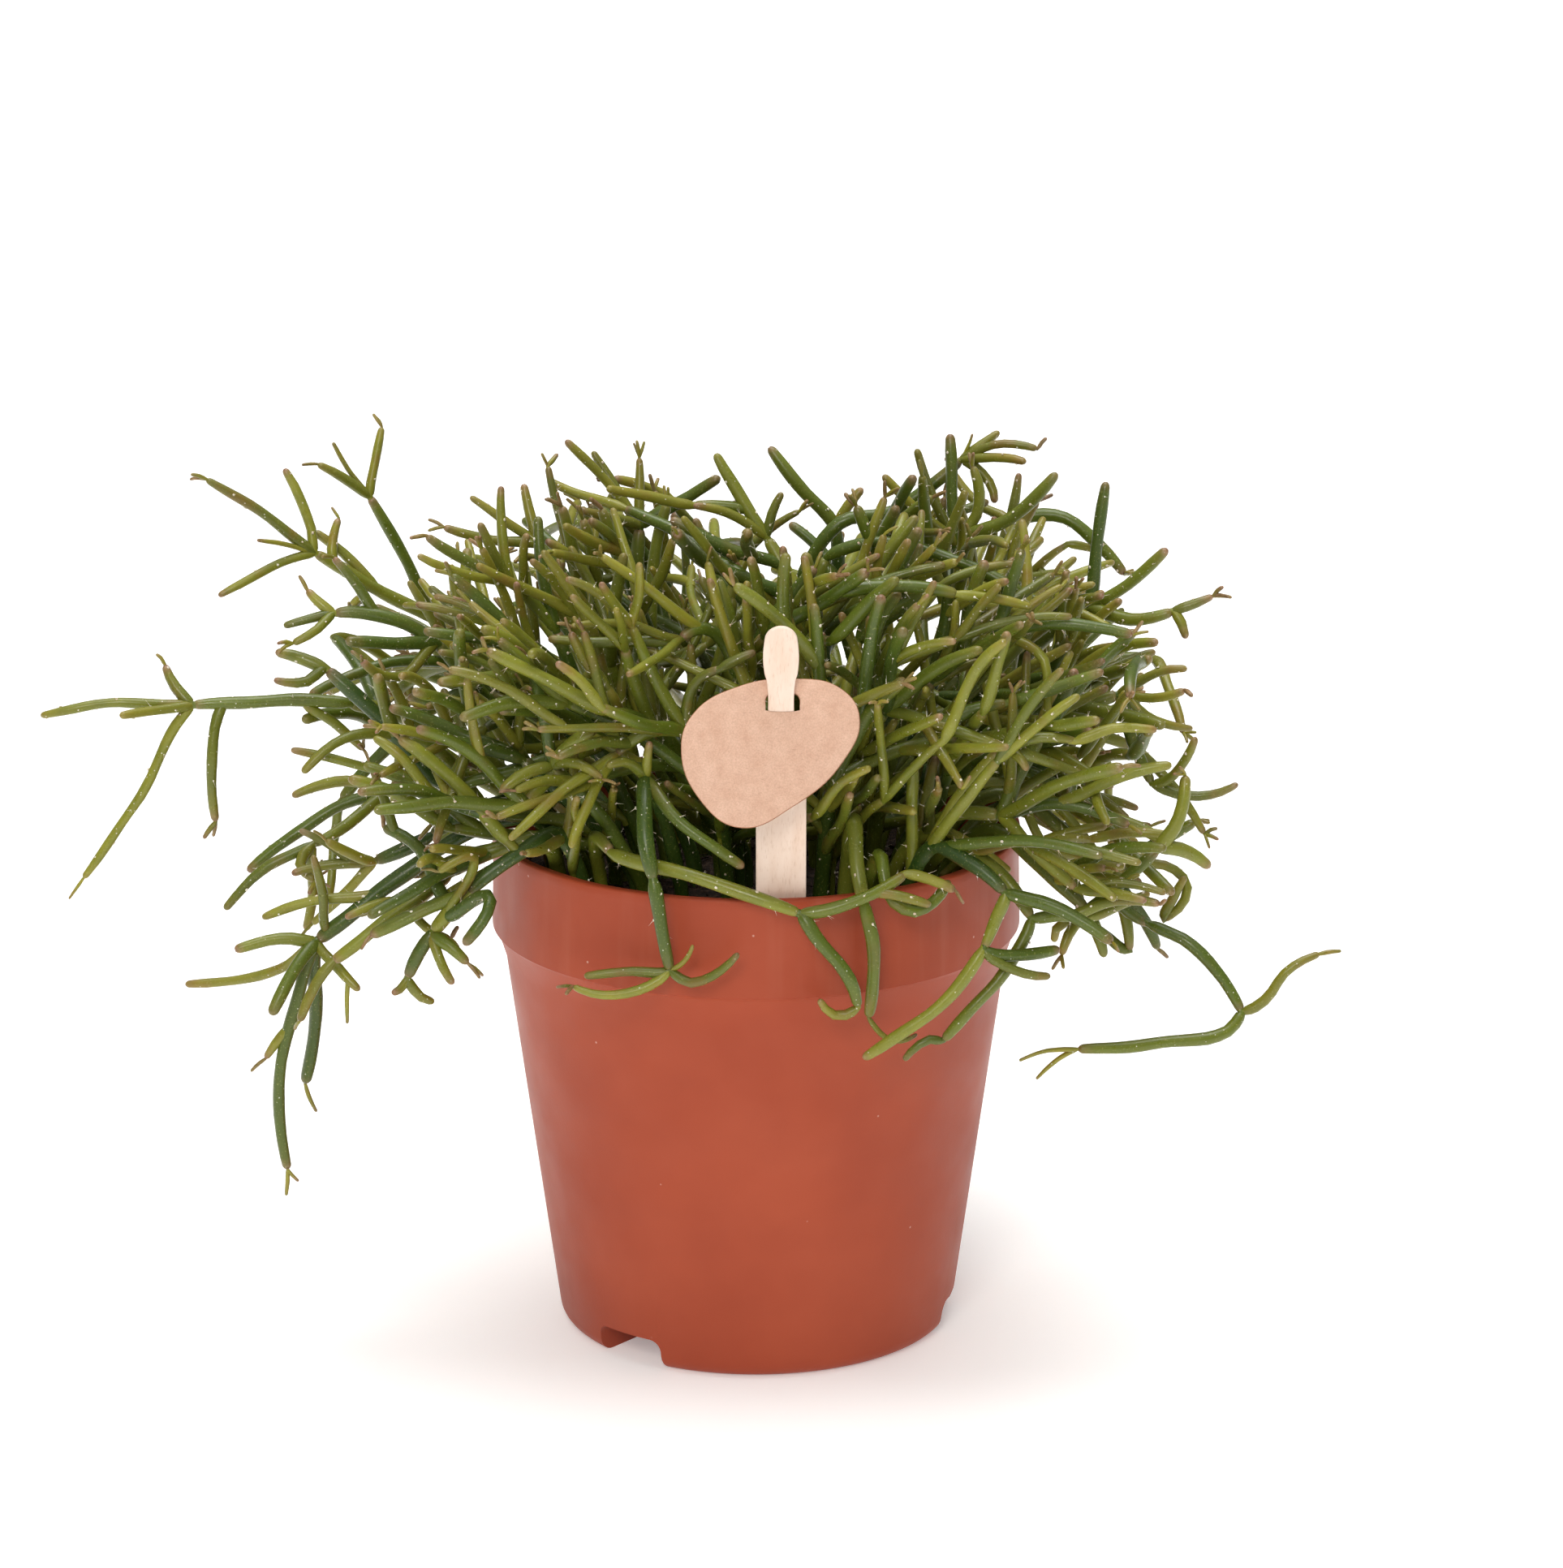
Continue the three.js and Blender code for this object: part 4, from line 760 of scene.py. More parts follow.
class Growth:
    """Grows every spray, shoot by shoot, each clear of those before it."""

    def __init__(self) -> None:
        """Starts with no stems."""
        self.thicket = Thicket()
        self.sprays: dict[str, Spray] = {}
        self.roots: list[Sequence[float]] = []

    def try_shoot(
        self,
        spray: Spray,
        parent: float,
        age: Age,
        points: Sequence[np.ndarray],
        gap: float = STEM.gap,
    ) -> Shoot | None:
        """Tries one shoot.

        Args:
            spray: Its spray.
            parent: The shoot that it grows from, and how far along it.
            age: Its age.
            points: The points that it passes.
            gap: The space that it leaves to other stems.

        Returns:
            The shoot, or None where it would touch something.
        """
        start = spray.start_of(parent)
        if start is None:
            return None
        at, way = start
        lead = way if parent == 0 else unit(unit(points[0] - at) + way * STEM.lead_share)
        route = np.array([at, *points])
        line = bend(route, lead, coarse_steps)
        total = lengths_of(line)[-1]
        count = max(2, math.ceil(total / STEM.sample_step))
        share = np.arange(count + 1) / count
        samples = points_at(line, share * total)
        gauge = GAUGES[age]
        radii = gauge.base + (gauge.tip - gauge.base) * share
        free = np.ones(len(samples), bool)
        if parent == 0:
            in_hole = samples[:, 2] < at[2] + STEM.sink
            free = ~(in_hole & (np.hypot(samples[:, 0], samples[:, 1]) < SOIL.root_reach))
        if not self.thicket.clear(spray.name, samples[free], radii[free], at, gap):
            return None
        return Shoot(line, route, lead, way, age, parent, samples, radii)

    def keep(self, spray: Spray, shoot: Shoot | None) -> None:
        """Adds a shoot to its spray and to what later ones keep clear of.

        Args:
            spray: The spray.
            shoot: The shoot, or None where it found no room.
        """
        spray.shoots.append(shoot)
        if shoot:
            self.thicket.add(spray.name, shoot)

    def laid_spray(self, name: str, rows: Sequence) -> None:
        """Lays out a spray of the table: each shoot slides in depth until it is clear.

        Args:
            name: The spray's name.
            rows: Its root and its shoots.
        """
        spray = Spray(name, rows[0])
        for parent, age, *points in rows[1:]:
            stem = spray.shoots[math.ceil(parent) - 1] if parent else None
            slid = stem.slid if stem else 0.0
            shoot = None
            for slide in STEM.slides:
                count = len(points)
                route = [place(p, slid + slide * i / count) for i, p in enumerate(points, 1)]
                shoot = self.try_shoot(spray, parent, age, route)
                if shoot:
                    shoot.slid = slid + slide
                    break
            self.keep(spray, shoot)
        self.sprays[name] = spray
        self.roots.append(spray.root)

    def grown_spray(
        self, spray: Spray, random: Draws, azimuth: float, rule: GrownRule, dome: Dome
    ) -> None:
        """Grows a spray by rule.

        Args:
            spray: The spray, which has no shoots yet.
            random: Its generator.
            azimuth: The way that it leans, in radians from +X.
            rule: The rule.
            dome: The room that it stays in.
        """
        first = np.array([math.cos(azimuth), math.sin(azimuth), random.between(*rule.rise)])
        tips: list[tuple[int, np.ndarray]] = [(0, first)]
        for level in rule.levels:
            following: list[tuple[int, np.ndarray]] = []
            for parent, heading in tips:
                for _fork in range(math.floor(random.between(*level.forks) + 0.5)):
                    for _try in range(rule.tries):
                        at, _way = spray.start_of(parent)
                        spread = 2 * (rule.root_spread if parent == 0 else rule.spread)
                        stray = [random() - 0.5, random() - 0.5, random() - rule.downward]
                        way = unit(unit(heading) + spread * np.array(stray))
                        length = random.between(*level.length)
                        end = at + way * length
                        end[2] -= rule.droop * length
                        middle = at + way * (length / 2)
                        middle[2] += rule.arch * length
                        if not dome.holds(end):
                            continue
                        shoot = self.try_shoot(spray, parent, level.age, [middle, end])
                        if not shoot:
                            continue
                        self.keep(spray, shoot)
                        following.append((len(spray.shoots), end - middle))
                        break
            tips = following

    def grow(self, prefix: str, rule: GrownRule, dome: Dome) -> None:
        """Grows the sprays of a rule, each from its own azimuth.

        Args:
            prefix: What their names start with.
            rule: The rule.
            dome: The room that they stay in.
        """
        random = Draws(rule.seed)
        first, last = rule.azimuth
        for i in range(rule.count):
            share = (i + 0.5) / rule.count
            azimuth = math.pi * (first + (last - first) * share)
            name = f"{prefix}_{i + 1:02d}"
            for _try in range(rule.tries):
                reach = random.between(*rule.root_radius)
                root = [reach * math.cos(azimuth), reach * math.sin(azimuth)]
                if any(math.dist(other, root) < rule.root_spacing for other in self.roots):
                    continue
                spray = self.sprays[name] = Spray(name, root)
                leaning = azimuth + rule.scatter * (random() - 0.5)
                self.grown_spray(spray, random, leaning, rule, dome)
                if spray.shoots:
                    self.roots.append(root)
                    break


# ---- finishes ----


def linear(hex_colour: str) -> tuple[float, float, float, float]:
    """Turns an sRGB colour to linear.

    Args:
        hex_colour: The colour, such as "b0593f".

    Returns:
        Its linear RGBA.
    """
    shares = [int(hex_colour[i : i + 2], 16) / 255 for i in (0, 2, 4)]
    r, g, b = (s / 12.92 if s <= 0.04045 else ((s + 0.055) / 1.055) ** 2.4 for s in shares)
    return r, g, b, 1.0


def add(
    tree: bpy.types.NodeTree, kind: str, inputs: dict | None = None, **settings: object
) -> bpy.types.Node:
    """Adds a shader node.

    Args:
        tree: The material's tree.
        kind: The node's type, without "ShaderNode".
        inputs: A value or an output socket for each named or numbered input.
        **settings: The node's own properties.

    Returns:
        The node.
    """
    node = tree.nodes.new("ShaderNode" + kind)
    for name, value in settings.items():
        setattr(node, name, value)
    for key, value in (inputs or {}).items():
        if isinstance(value, Socket):
            tree.links.new(value, node.inputs[key])
        else:
            node.inputs[key].default_value = value
    return node


class Finish:
    """A surface finish that makes its material once."""

    name = "finish"

    def __init__(self) -> None:
        """Starts a bare material with a principled shader."""
        self.material = bpy.data.materials.new(self.name)
        self.material.use_nodes = True
        self.tree = self.material.node_tree
        self.shader = next(n for n in self.tree.nodes if n.type == "BSDF_PRINCIPLED")
        self.place = add(self.tree, "TexCoord").outputs["Object"]
        self.dress()

    def dress(self) -> None:
        """Adds the finish's own nodes."""

    def set(self, **values: object) -> None:
        """Sets or links the shader's sockets.

        Args:
            **values: A value or an output socket for each socket, with _ for a space in its name.
        """
        for key, value in values.items():
            socket = self.shader.inputs[key.replace("_", " ")]
            if isinstance(value, Socket):
                self.tree.links.new(value, socket)
            else:
                socket.default_value = value

    def noise(
        self, size_mm: float, detail: float = 3.0, stretch: Sequence[float] = (1, 1, 1)
    ) -> Socket:
        """Adds a noise.

        Args:
            size_mm: How far across its blotches are.
            detail: Its octaves.
            stretch: How much longer they are along each axis.

        Returns:
            Its value, from 0 to 1.
        """
        scale = [1 / s for s in stretch]
        mapped = add(self.tree, "Mapping", {"Vector": self.place, "Scale": scale}).outputs[0]
        size = 1 / (size_mm * MM)
        inputs = {"Vector": mapped, "Scale": size, "Detail": detail}
        return add(self.tree, "TexNoise", inputs).outputs["Fac"]

    def span(
        self, value: Socket, low: float, high: float, to: Sequence[float] = (0, 1)
    ) -> Socket:
        """A value's span from low to high, stretched to `to` and clamped."""
        limits = {"From Min": low, "From Max": high, "To Min": to[0], "To Max": to[1]}
        return add(self.tree, "MapRange", {"Value": value, **limits}).outputs["Result"]

    def blend(self, share: object, a: object, b: object) -> Socket:
        """Mixes two colours.

        Args:
            share: The second one's share, a value or a socket.
            a: The first, a hex colour or a socket.
            b: The second.

        Returns:
            The mixed colour.
        """
        colours = [linear(c) if isinstance(c, str) else c for c in (a, b)]
        inputs = {0: share, 6: colours[0], 7: colours[1]}
        return add(self.tree, "Mix", inputs, data_type="RGBA").outputs[2]

    def times(self, a: object, b: object) -> Socket:
        """The product of two values."""
        return add(self.tree, "Math", {0: a, 1: b}, operation="MULTIPLY").outputs[0]

    def attribute(self, name: str) -> Socket:
        """A number that the piece's points carry."""
        return add(self.tree, "Attribute", attribute_name=name).outputs["Fac"]

    def bump(self, height: Socket, depth_mm: float) -> Socket:
        """A normal from a height of 0 to 1 over depth_mm."""
        inputs = {"Height": height, "Distance": depth_mm * MM}
        return add(self.tree, "Bump", inputs).outputs["Normal"]


class MouldedPolypropylene(Finish):
    """Injection-moulded polypropylene, coloured like terracotta: an even, satin skin."""

    name = "moulded_polypropylene"

    def dress(self) -> None:
        """Clouded colour, dusty specks, and long soft lighter stripes on the collar: a painted
        sheen.
        """
        body = self.blend(self.span(self.noise(32), 0.35, 0.65), "9c4126", "a6492d")
        height = add(self.tree, "SeparateXYZ", {0: self.place}).outputs["Z"]
        # Painted sheen: soft lighter stripes on the collar, mixed towards c27a63, stand in for
        # light catching its dents.
        collar = self.span(height, 93.5 * MM, 96 * MM)
        sheen_streaks = self.span(self.noise(5, 2, (1, 1, 9)), 0.48, 0.72)
        body = self.blend(self.times(self.times(sheen_streaks, collar), 0.12), body, "c27a63")
        cells = add(self.tree, "TexVoronoi", {"Vector": self.place, "Scale": 1 / (7 * MM)})
        dot = self.span(cells.outputs["Distance"], 0.025, 0.05, (1, 0))
        shade = add(self.tree, "SeparateColor", {0: cells.outputs["Color"]}).outputs[0]
        some = self.span(shade, 0.62, 0.66)
        body = self.blend(self.times(self.times(dot, some), 0.6), body, "dcb8a8")
        rough = self.span(self.noise(14), 0.3, 0.7, (0.42, 0.54))
        self.set(Base_Color=body, Roughness=rough, Normal=self.bump(self.noise(0.7, 4), 0.02))
        self.set(IOR=1.46, Specular_IOR_Level=0.28)


class MoistPeat(Finish):
    """Moist sphagnum peat: dark crumbs and fibres with no shine."""

    name = "moist_peat"

    def dress(self) -> None:
        """Dark brown crumbs, paler fibres and a rough surface."""
        crumbs = self.span(self.noise(1.6, 6), 0.35, 0.65)
        fibres = self.span(self.noise(0.8, 3, (5, 1, 1)), 0.58, 0.72)
        body = self.blend(crumbs, "1b130e", "3a2b20")
        body = self.blend(self.times(fibres, 0.5), body, "6b503a")
        self.set(Base_Color=body, Roughness=0.95, IOR=1.4, Normal=self.bump(crumbs, 0.6))


class SandedBirch(Finish):
    """Sawn and sanded birch: pale, with fine upright grain and no varnish."""

    name = "sanded_birch"

    def dress(self) -> None:
        """Broad pale bands, fine darker pores along the grain."""
        bands = self.span(self.noise(2.4, 3, (1, 1, 14)), 0.3, 0.7)
        pores = self.span(self.noise(0.32, 2, (1, 1, 22)), 0.56, 0.75)
        body = self.blend(bands, "e7ccb8", "f0dbcb")
        body = self.blend(self.times(pores, 0.28), body, "b98f66")
        self.set(Base_Color=body, Roughness=0.66, IOR=1.5, Normal=self.bump(pores, 0.04))


class KraftBoard(Finish):
    """Die-cut kraft board: pressed brown fibres, matt, with a fine grain."""

    name = "kraft_board"
    colours = ("cda58d", "dab59e", "a5806a")

    def dress(self) -> None:
        """Mottled board with fine darker and lighter fibres."""
        dark, light, fleck = self.colours
        body = self.blend(self.span(self.noise(3.0, 4), 0.3, 0.7), dark, light)
        grain = self.span(self.noise(0.35, 2), 0.35, 0.65)
        body = self.blend(self.times(grain, 0.3), body, fleck)
        fibres = self.span(self.noise(0.4, 3, (3, 1, 1)), 0.62, 0.75)
        body = self.blend(self.times(fibres, 0.4), body, fleck)
        nap = self.bump(self.noise(0.35, 4), 0.03)
        self.set(Base_Color=body, Roughness=0.85, IOR=1.45, Normal=nap)


class KraftEdge(KraftBoard):
    """The board's cut edge, darker and browner than its faces."""

    name = "kraft_edge"
    colours = ("9c6c50", "b58264", "7d5238")


class StemSkin(Finish):
    """A mistletoe cactus's stem: smooth waxy green skin, yellower and then brown at its tip."""

    name = "stem_skin"

    def dress(self) -> None:
        """Green by age, tone of each shoot, a ruddy blush on young ones, brown where it is dry."""
        ripe, tone, dry = (self.attribute(n) for n in ("ripeness", "tone", "dryness"))
        young = self.blend(self.span(ripe, 0.0, 0.5), "8b8229", "5f6c19")
        green = self.blend(self.span(ripe, 0.5, 1.0), young, "2b4411")
        green = self.blend(self.span(tone, 0.5, 1.0, (0.0, 0.7)), green, "94922f")
        green = self.blend(self.span(tone, 0.45, 0.0, (0.0, 0.5)), green, "27431b")
        cloud = self.span(self.noise(6, 3), 0.3, 0.7)
        green = self.blend(self.times(cloud, 0.35), green, "46531a")
        fleck = self.span(self.noise(0.45, 2), 0.6, 0.74)
        green = self.blend(self.times(fleck, 0.42), green, "a3a45c")
        cells = add(self.tree, "TexVoronoi", {"Vector": self.place, "Scale": 1 / (1.7 * MM)})
        dot = self.span(cells.outputs["Distance"], 0.07, 0.11, (1, 0))
        green = self.blend(self.times(dot, 0.75), green, "d9d8c4")
        blush = self.times(self.span(self.noise(8, 2), 0.56, 0.74), self.span(ripe, 0.8, 0.2))
        green = self.blend(self.times(blush, 0.4), green, "8a5a30")
        brown = self.blend(self.span(self.noise(1.2, 3), 0.35, 0.65), "74503a", "9c7860")
        body = self.blend(dry, green, brown)
        rough = self.span(self.noise(2.5, 3), 0.3, 0.7, (0.26, 0.42))
        pores = self.bump(self.noise(0.9, 3), 0.04)
        self.set(Base_Color=body, Roughness=rough, IOR=1.45, Normal=pores)
        self.set(Subsurface_Weight=0.08, Subsurface_Scale=1.2 * MM)


class AreoleWool(Finish):
    """The wool and bristles of the areoles: dull white hairs, faintly see-through."""

    name = "areole_wool"

    def dress(self) -> None:
        """Off-white, a little browner in places."""
        body = self.blend(self.span(self.noise(2.0), 0.4, 0.7), "e9e4d2", "c3a98a")
        self.set(Base_Color=body, Roughness=0.8, IOR=1.5, Sheen_Weight=0.4)


class LitPaper(Finish):
    """The studio's floor: matt, nearly white paper that is lit from below."""

    name = "pale_floor"

    def dress(self) -> None:
        """One pale colour, with a glow that keeps it white."""
        self.set(Base_Color=linear("f4f3f1"), Roughness=0.9)
        self.set(Emission_Color=linear("ffffff"), Emission_Strength=0.27)


# ---- making pieces ----


def linked(name: str, data: bpy.types.ID) -> bpy.types.Object:
    """Makes an object and links it to the scene.

    Args:
        name: Its name.
        data: Its mesh, curve, light or camera.

    Returns:
        The object.
    """
    made = bpy.data.objects.new(name, data)
    bpy.context.scene.collection.objects.link(made)
    return made


def finish_piece(
    name: str,
    mesh: bpy.types.Mesh,
    finishes: Sequence[Finish],
    replaced: Sequence[str] = (),
) -> None:
    """Makes a piece of a mesh, dresses it and rides it on the pot's body.

    Args:
        name: The piece's name.
        mesh: Its mesh, in metres, in place.
        finishes: A finish for each of its material numbers.
        replaced: The solids that it stands for.
    """
    mesh.name = name
    for finish in finishes:
        mesh.materials.append(finish.material)
    piece = linked(name, mesh)
    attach(piece, "root")
    if replaced:
        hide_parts(*replaced)
    triangles = sum(len(p.vertices) - 2 for p in mesh.polygons)
    LOG.info("%s: %d triangles", name, triangles)


def mesh_of(bm: BMesh, name: str, smooth_below: float = 40.0) -> bpy.types.Mesh:
    """Turns a bmesh in millimetres into a mesh in metres.

    Args:
        bm: The bmesh, which is freed.
        name: The mesh's name.
        smooth_below: The angle in degrees past which an edge is sharp.

    Returns:
        The mesh.
    """
    bmesh.ops.scale(bm, verts=bm.verts, vec=(MM, MM, MM))
    for face in bm.faces:
        face.smooth = True
    sharp = math.radians(smooth_below)
    for edge in bm.edges:
        edge.smooth = len(edge.link_faces) == 2 and edge.calc_face_angle(0.0) < sharp
    mesh = bpy.data.meshes.new(name)
    bm.to_mesh(mesh)
    bm.free()
    return mesh


def parts(geometry: Sequence, kind: type) -> list:
    """The elements of one kind in an operator's result."""
    return [g for g in geometry if isinstance(g, kind)]


def spun(profile: Sequence[Pair], steps: int) -> BMesh:
    """Spins a closed solid about Z.

    Args:
        profile: Its (radius, z) points in millimetres, from axis to axis.
        steps: The number of steps round.

    Returns:
        The solid.
    """
    bm = bmesh.new()
    verts = [bm.verts.new((r, 0.0, z)) for r, z in profile]
    edges = [bm.edges.new(pair) for pair in zip(verts, verts[1:])]
    bmesh.ops.spin(
        bm,
        geom=[*verts, *edges],
        cent=(0, 0, 0),
        axis=(0, 0, 1),
        angle=math.tau,
        steps=steps,
        use_merge=True,
    )
    bmesh.ops.remove_doubles(bm, verts=bm.verts, dist=1e-4)
    bmesh.ops.recalc_face_normals(bm, faces=bm.faces)
    return bm


def object_of(bm: BMesh, name: str) -> bpy.types.Object:
    """Turns a bmesh into a working object, still in millimetres.

    Args:
        bm: The bmesh, which is freed.
        name: The object's name.

    Returns:
        The object.
    """
    mesh = bpy.data.meshes.new(name)
    bm.to_mesh(mesh)
    bm.free()
    return linked(name, mesh)


def cut(body: bpy.types.Object, tool: bpy.types.Object, operation: str) -> None:
    """Joins, cuts or crops a working object with another one, which stays.

    Args:
        body: The object that changes.
        tool: The other one.
        operation: The boolean's name.
    """
    step = body.modifiers.new("cut", "BOOLEAN")
    step.operation = operation
    step.object = tool
    step.solver = "EXACT"
    graph = bpy.context.evaluated_depsgraph_get()
    made = bpy.data.meshes.new_from_object(body.evaluated_get(graph))
    body.modifiers.clear()
    body.data = made


def drop(*objects: bpy.types.Object) -> None:
    """Removes working objects."""
    for made in objects:
        bpy.data.objects.remove(made)


def z_turned_to(way: Vector) -> Matrix:
    """What turns the Z axis to a way."""
    return way.to_track_quat("Z", "Y").to_matrix().to_4x4()


def cone(
    bm: BMesh, radii: Pair, length: float, sides: int, pose: Matrix
) -> None:
    """Adds a closed cone or cylinder.

    Args:
        bm: The bmesh that takes it.
        radii: Its radii below and above.
        length: Its length.
        sides: Its number of sides.
        pose: Where its middle goes.
    """
    low, high = radii
    bmesh.ops.create_cone(
        bm, cap_ends=True, segments=sides, radius1=low, radius2=high, depth=length, matrix=pose
    )


def arc(
    centre: Pair, radius: float, start: float, end: float, steps: int
) -> list[Pair]:
    """Points of an arc from one angle to another, in degrees."""
    angles = [math.radians(start + (end - start) * i / steps) for i in range(steps + 1)]
    return [(centre[0] + radius * math.cos(a), centre[1] + radius * math.sin(a)) for a in angles]


@dataclass(frozen=True)
class NurseryPot:
    """The moulded pot: a tapered wall, a wider collar, and three drain channels under its foot."""

    channel_angles: tuple[float, ...] = (-39.5, 80.5, 200.5)
    channel_width: float = 18.0
    channel_height: float = 7.2
    channel_inner: float = 28.0
    channel_outer: float = 64.4
    channel_roof: float = 1.6
    channel_corner: float = 2.6
    below: float = -4.0
    hole_radius: float = 4.0
    hole_centre: float = 36.0
    hole_depth: float = 4.0
    core_share: float = 0.99
    dent: float = 0.55
    dents: float = 3.6
    dent_layer: float = 3.7
    steps: int = 180
    sharp: float = 32.0

    @staticmethod
    def outside() -> list[Pair]:
        """Draws the outer profile.

        Returns:
            Its (radius, z) points, from the middle of the underside to the top of the rim.
        """
        foot = arc((POT.foot_radius - POT.foot, POT.foot), POT.foot, -90, -8, 7)
        low, high = POT.collar_bottom, POT.collar_bottom + POT.collar_slope
        rim, top = POT.rim_radius, POT.height
        return [
            (0, 0), *foot, (50.6, 40.0), (POT.wall_top_radius - 0.1, low - 1.2),
            (POT.wall_top_radius + 0.4, low + 0.4), (rim - 0.9, high - 1.3),
            (rim - 0.15, high - 0.35), (rim + 0.2, high - 0.1), (rim + 0.2, high + 0.5),
            (rim + 0.1, high + 6.0), (rim, top - 3.4), (rim + 0.25, top - 2.4),
            *arc((rim - 0.35, top - 0.6), 0.6, 0, 90, 3),
        ]

    @staticmethod
    def inside() -> list[Pair]:
        """Draws the inner profile.

        Returns:
            Its (radius, z) points, from the top of the rim to the middle of the floor.
        """
        step = POT.collar_bottom + POT.wall
        return [
            (POT.rim_radius - POT.wall, POT.height),
            (POT.rim_radius - POT.wall - 0.2, POT.height - 0.8),
            (POT.collar_inside, step + POT.collar_slope), (POT.wall_top_radius - POT.wall, step),
            (POT.foot_radius - POT.wall, POT.foot + POT.floor),
            (POT.foot_radius - POT.foot - POT.wall, POT.floor), (0, POT.floor),
        ]

    def channels(self, grow: float, bottom: float) -> bpy.types.Object:
        """Makes the three drain channels as rounded blocks.

        Args:
            grow: How much larger they are all round.
            bottom: The height that they start from.

        Returns:
            A working object of them.
        """
        bm = bmesh.new()
        top = self.channel_height + grow
        inner = self.channel_inner - grow
        size = (self.channel_width + 2 * grow, self.channel_outer - inner, top - bottom)
        middle = (0, -(inner + self.channel_outer) / 2, (top + bottom) / 2)
        for degrees in self.channel_angles:
            made = bmesh.ops.create_cube(bm, size=1.0)["verts"]
            bmesh.ops.scale(bm, verts=made, vec=size)
            bmesh.ops.translate(bm, verts=made, vec=middle)
            long_edges = [
                e for e in {e for v in made for e in v.link_edges}
                if all(v.co.z > middle[2] for v in e.verts)
                and abs(e.verts[0].co.y - e.verts[1].co.y) > 1
            ]
            rounded = bmesh.ops.bevel(
                bm,
                geom=long_edges,
                offset=self.channel_corner + grow,
                segments=5,
                profile=0.5,
                affect="EDGES",
                material=-1,
            )
            block = [v for v in {*made, *rounded["verts"]} if v.is_valid]
            turn = Matrix.Rotation(math.radians(degrees), 4, "Z")
            bmesh.ops.transform(bm, matrix=turn, verts=block)
        return object_of(bm, "channels")

    def holes(self) -> bpy.types.Object:
        """Makes the drain holes through the channels' roofs.

        Returns:
            A working object of them.
        """
        bm = bmesh.new()
        for degrees in self.channel_angles:
            a = math.radians(degrees)
            x, y = self.hole_centre * math.sin(a), -self.hole_centre * math.cos(a)
            at = Matrix.Translation((x, y, self.channel_height + 1))
            cone(bm, (self.hole_radius, self.hole_radius), self.hole_depth, 32, at)
        return object_of(bm, "holes")

    def soften(self, bm: BMesh) -> None:
        """Dents the thin collar softly in and out, more towards the rim.

        Args:
            bm: The pot.
        """
        foot = POT.collar_bottom + POT.collar_slope
        for vert in bm.verts:
            share = (vert.co.z - foot - 1.0) / (POT.height - foot)
            if share > 0:
                around = vert.co.xy.normalized()
                spot = Vector((*(around * self.dents), self.dent_layer))
                vert.co.xy += around * self.dent * share * noise.noise(spot)

    def build(self, plastic: Finish) -> None:
        """Makes the pot in place of its solid.

        Args:
            plastic: Its finish.
        """
        filled = [(r * self.core_share, z) for r, z in [*self.outside(), (0, POT.height)]]
        core = object_of(spun(filled, self.steps), "core")
        pot = object_of(spun([*self.outside(), *self.inside()], self.steps), "pot_work")
        roofs = self.channels(self.channel_roof, POT.floor / 2)
        cut(roofs, core, "INTERSECT")
        cut(pot, roofs, "UNION")
        channels = self.channels(0.0, self.below)
        holes = self.holes()
        cut(pot, channels, "DIFFERENCE")
        cut(pot, holes, "DIFFERENCE")
        bm = bmesh.new()
        bm.from_mesh(pot.data)
        bmesh.ops.remove_doubles(bm, verts=bm.verts, dist=1e-3)
        bmesh.ops.dissolve_degenerate(bm, edges=bm.edges, dist=1e-3)
        self.soften(bm)
        mesh = mesh_of(bm, "moulded_pot", self.sharp)
        drop(core, pot, roofs, channels, holes)
        finish_piece("moulded_pot", mesh, [plastic], ["pot"])


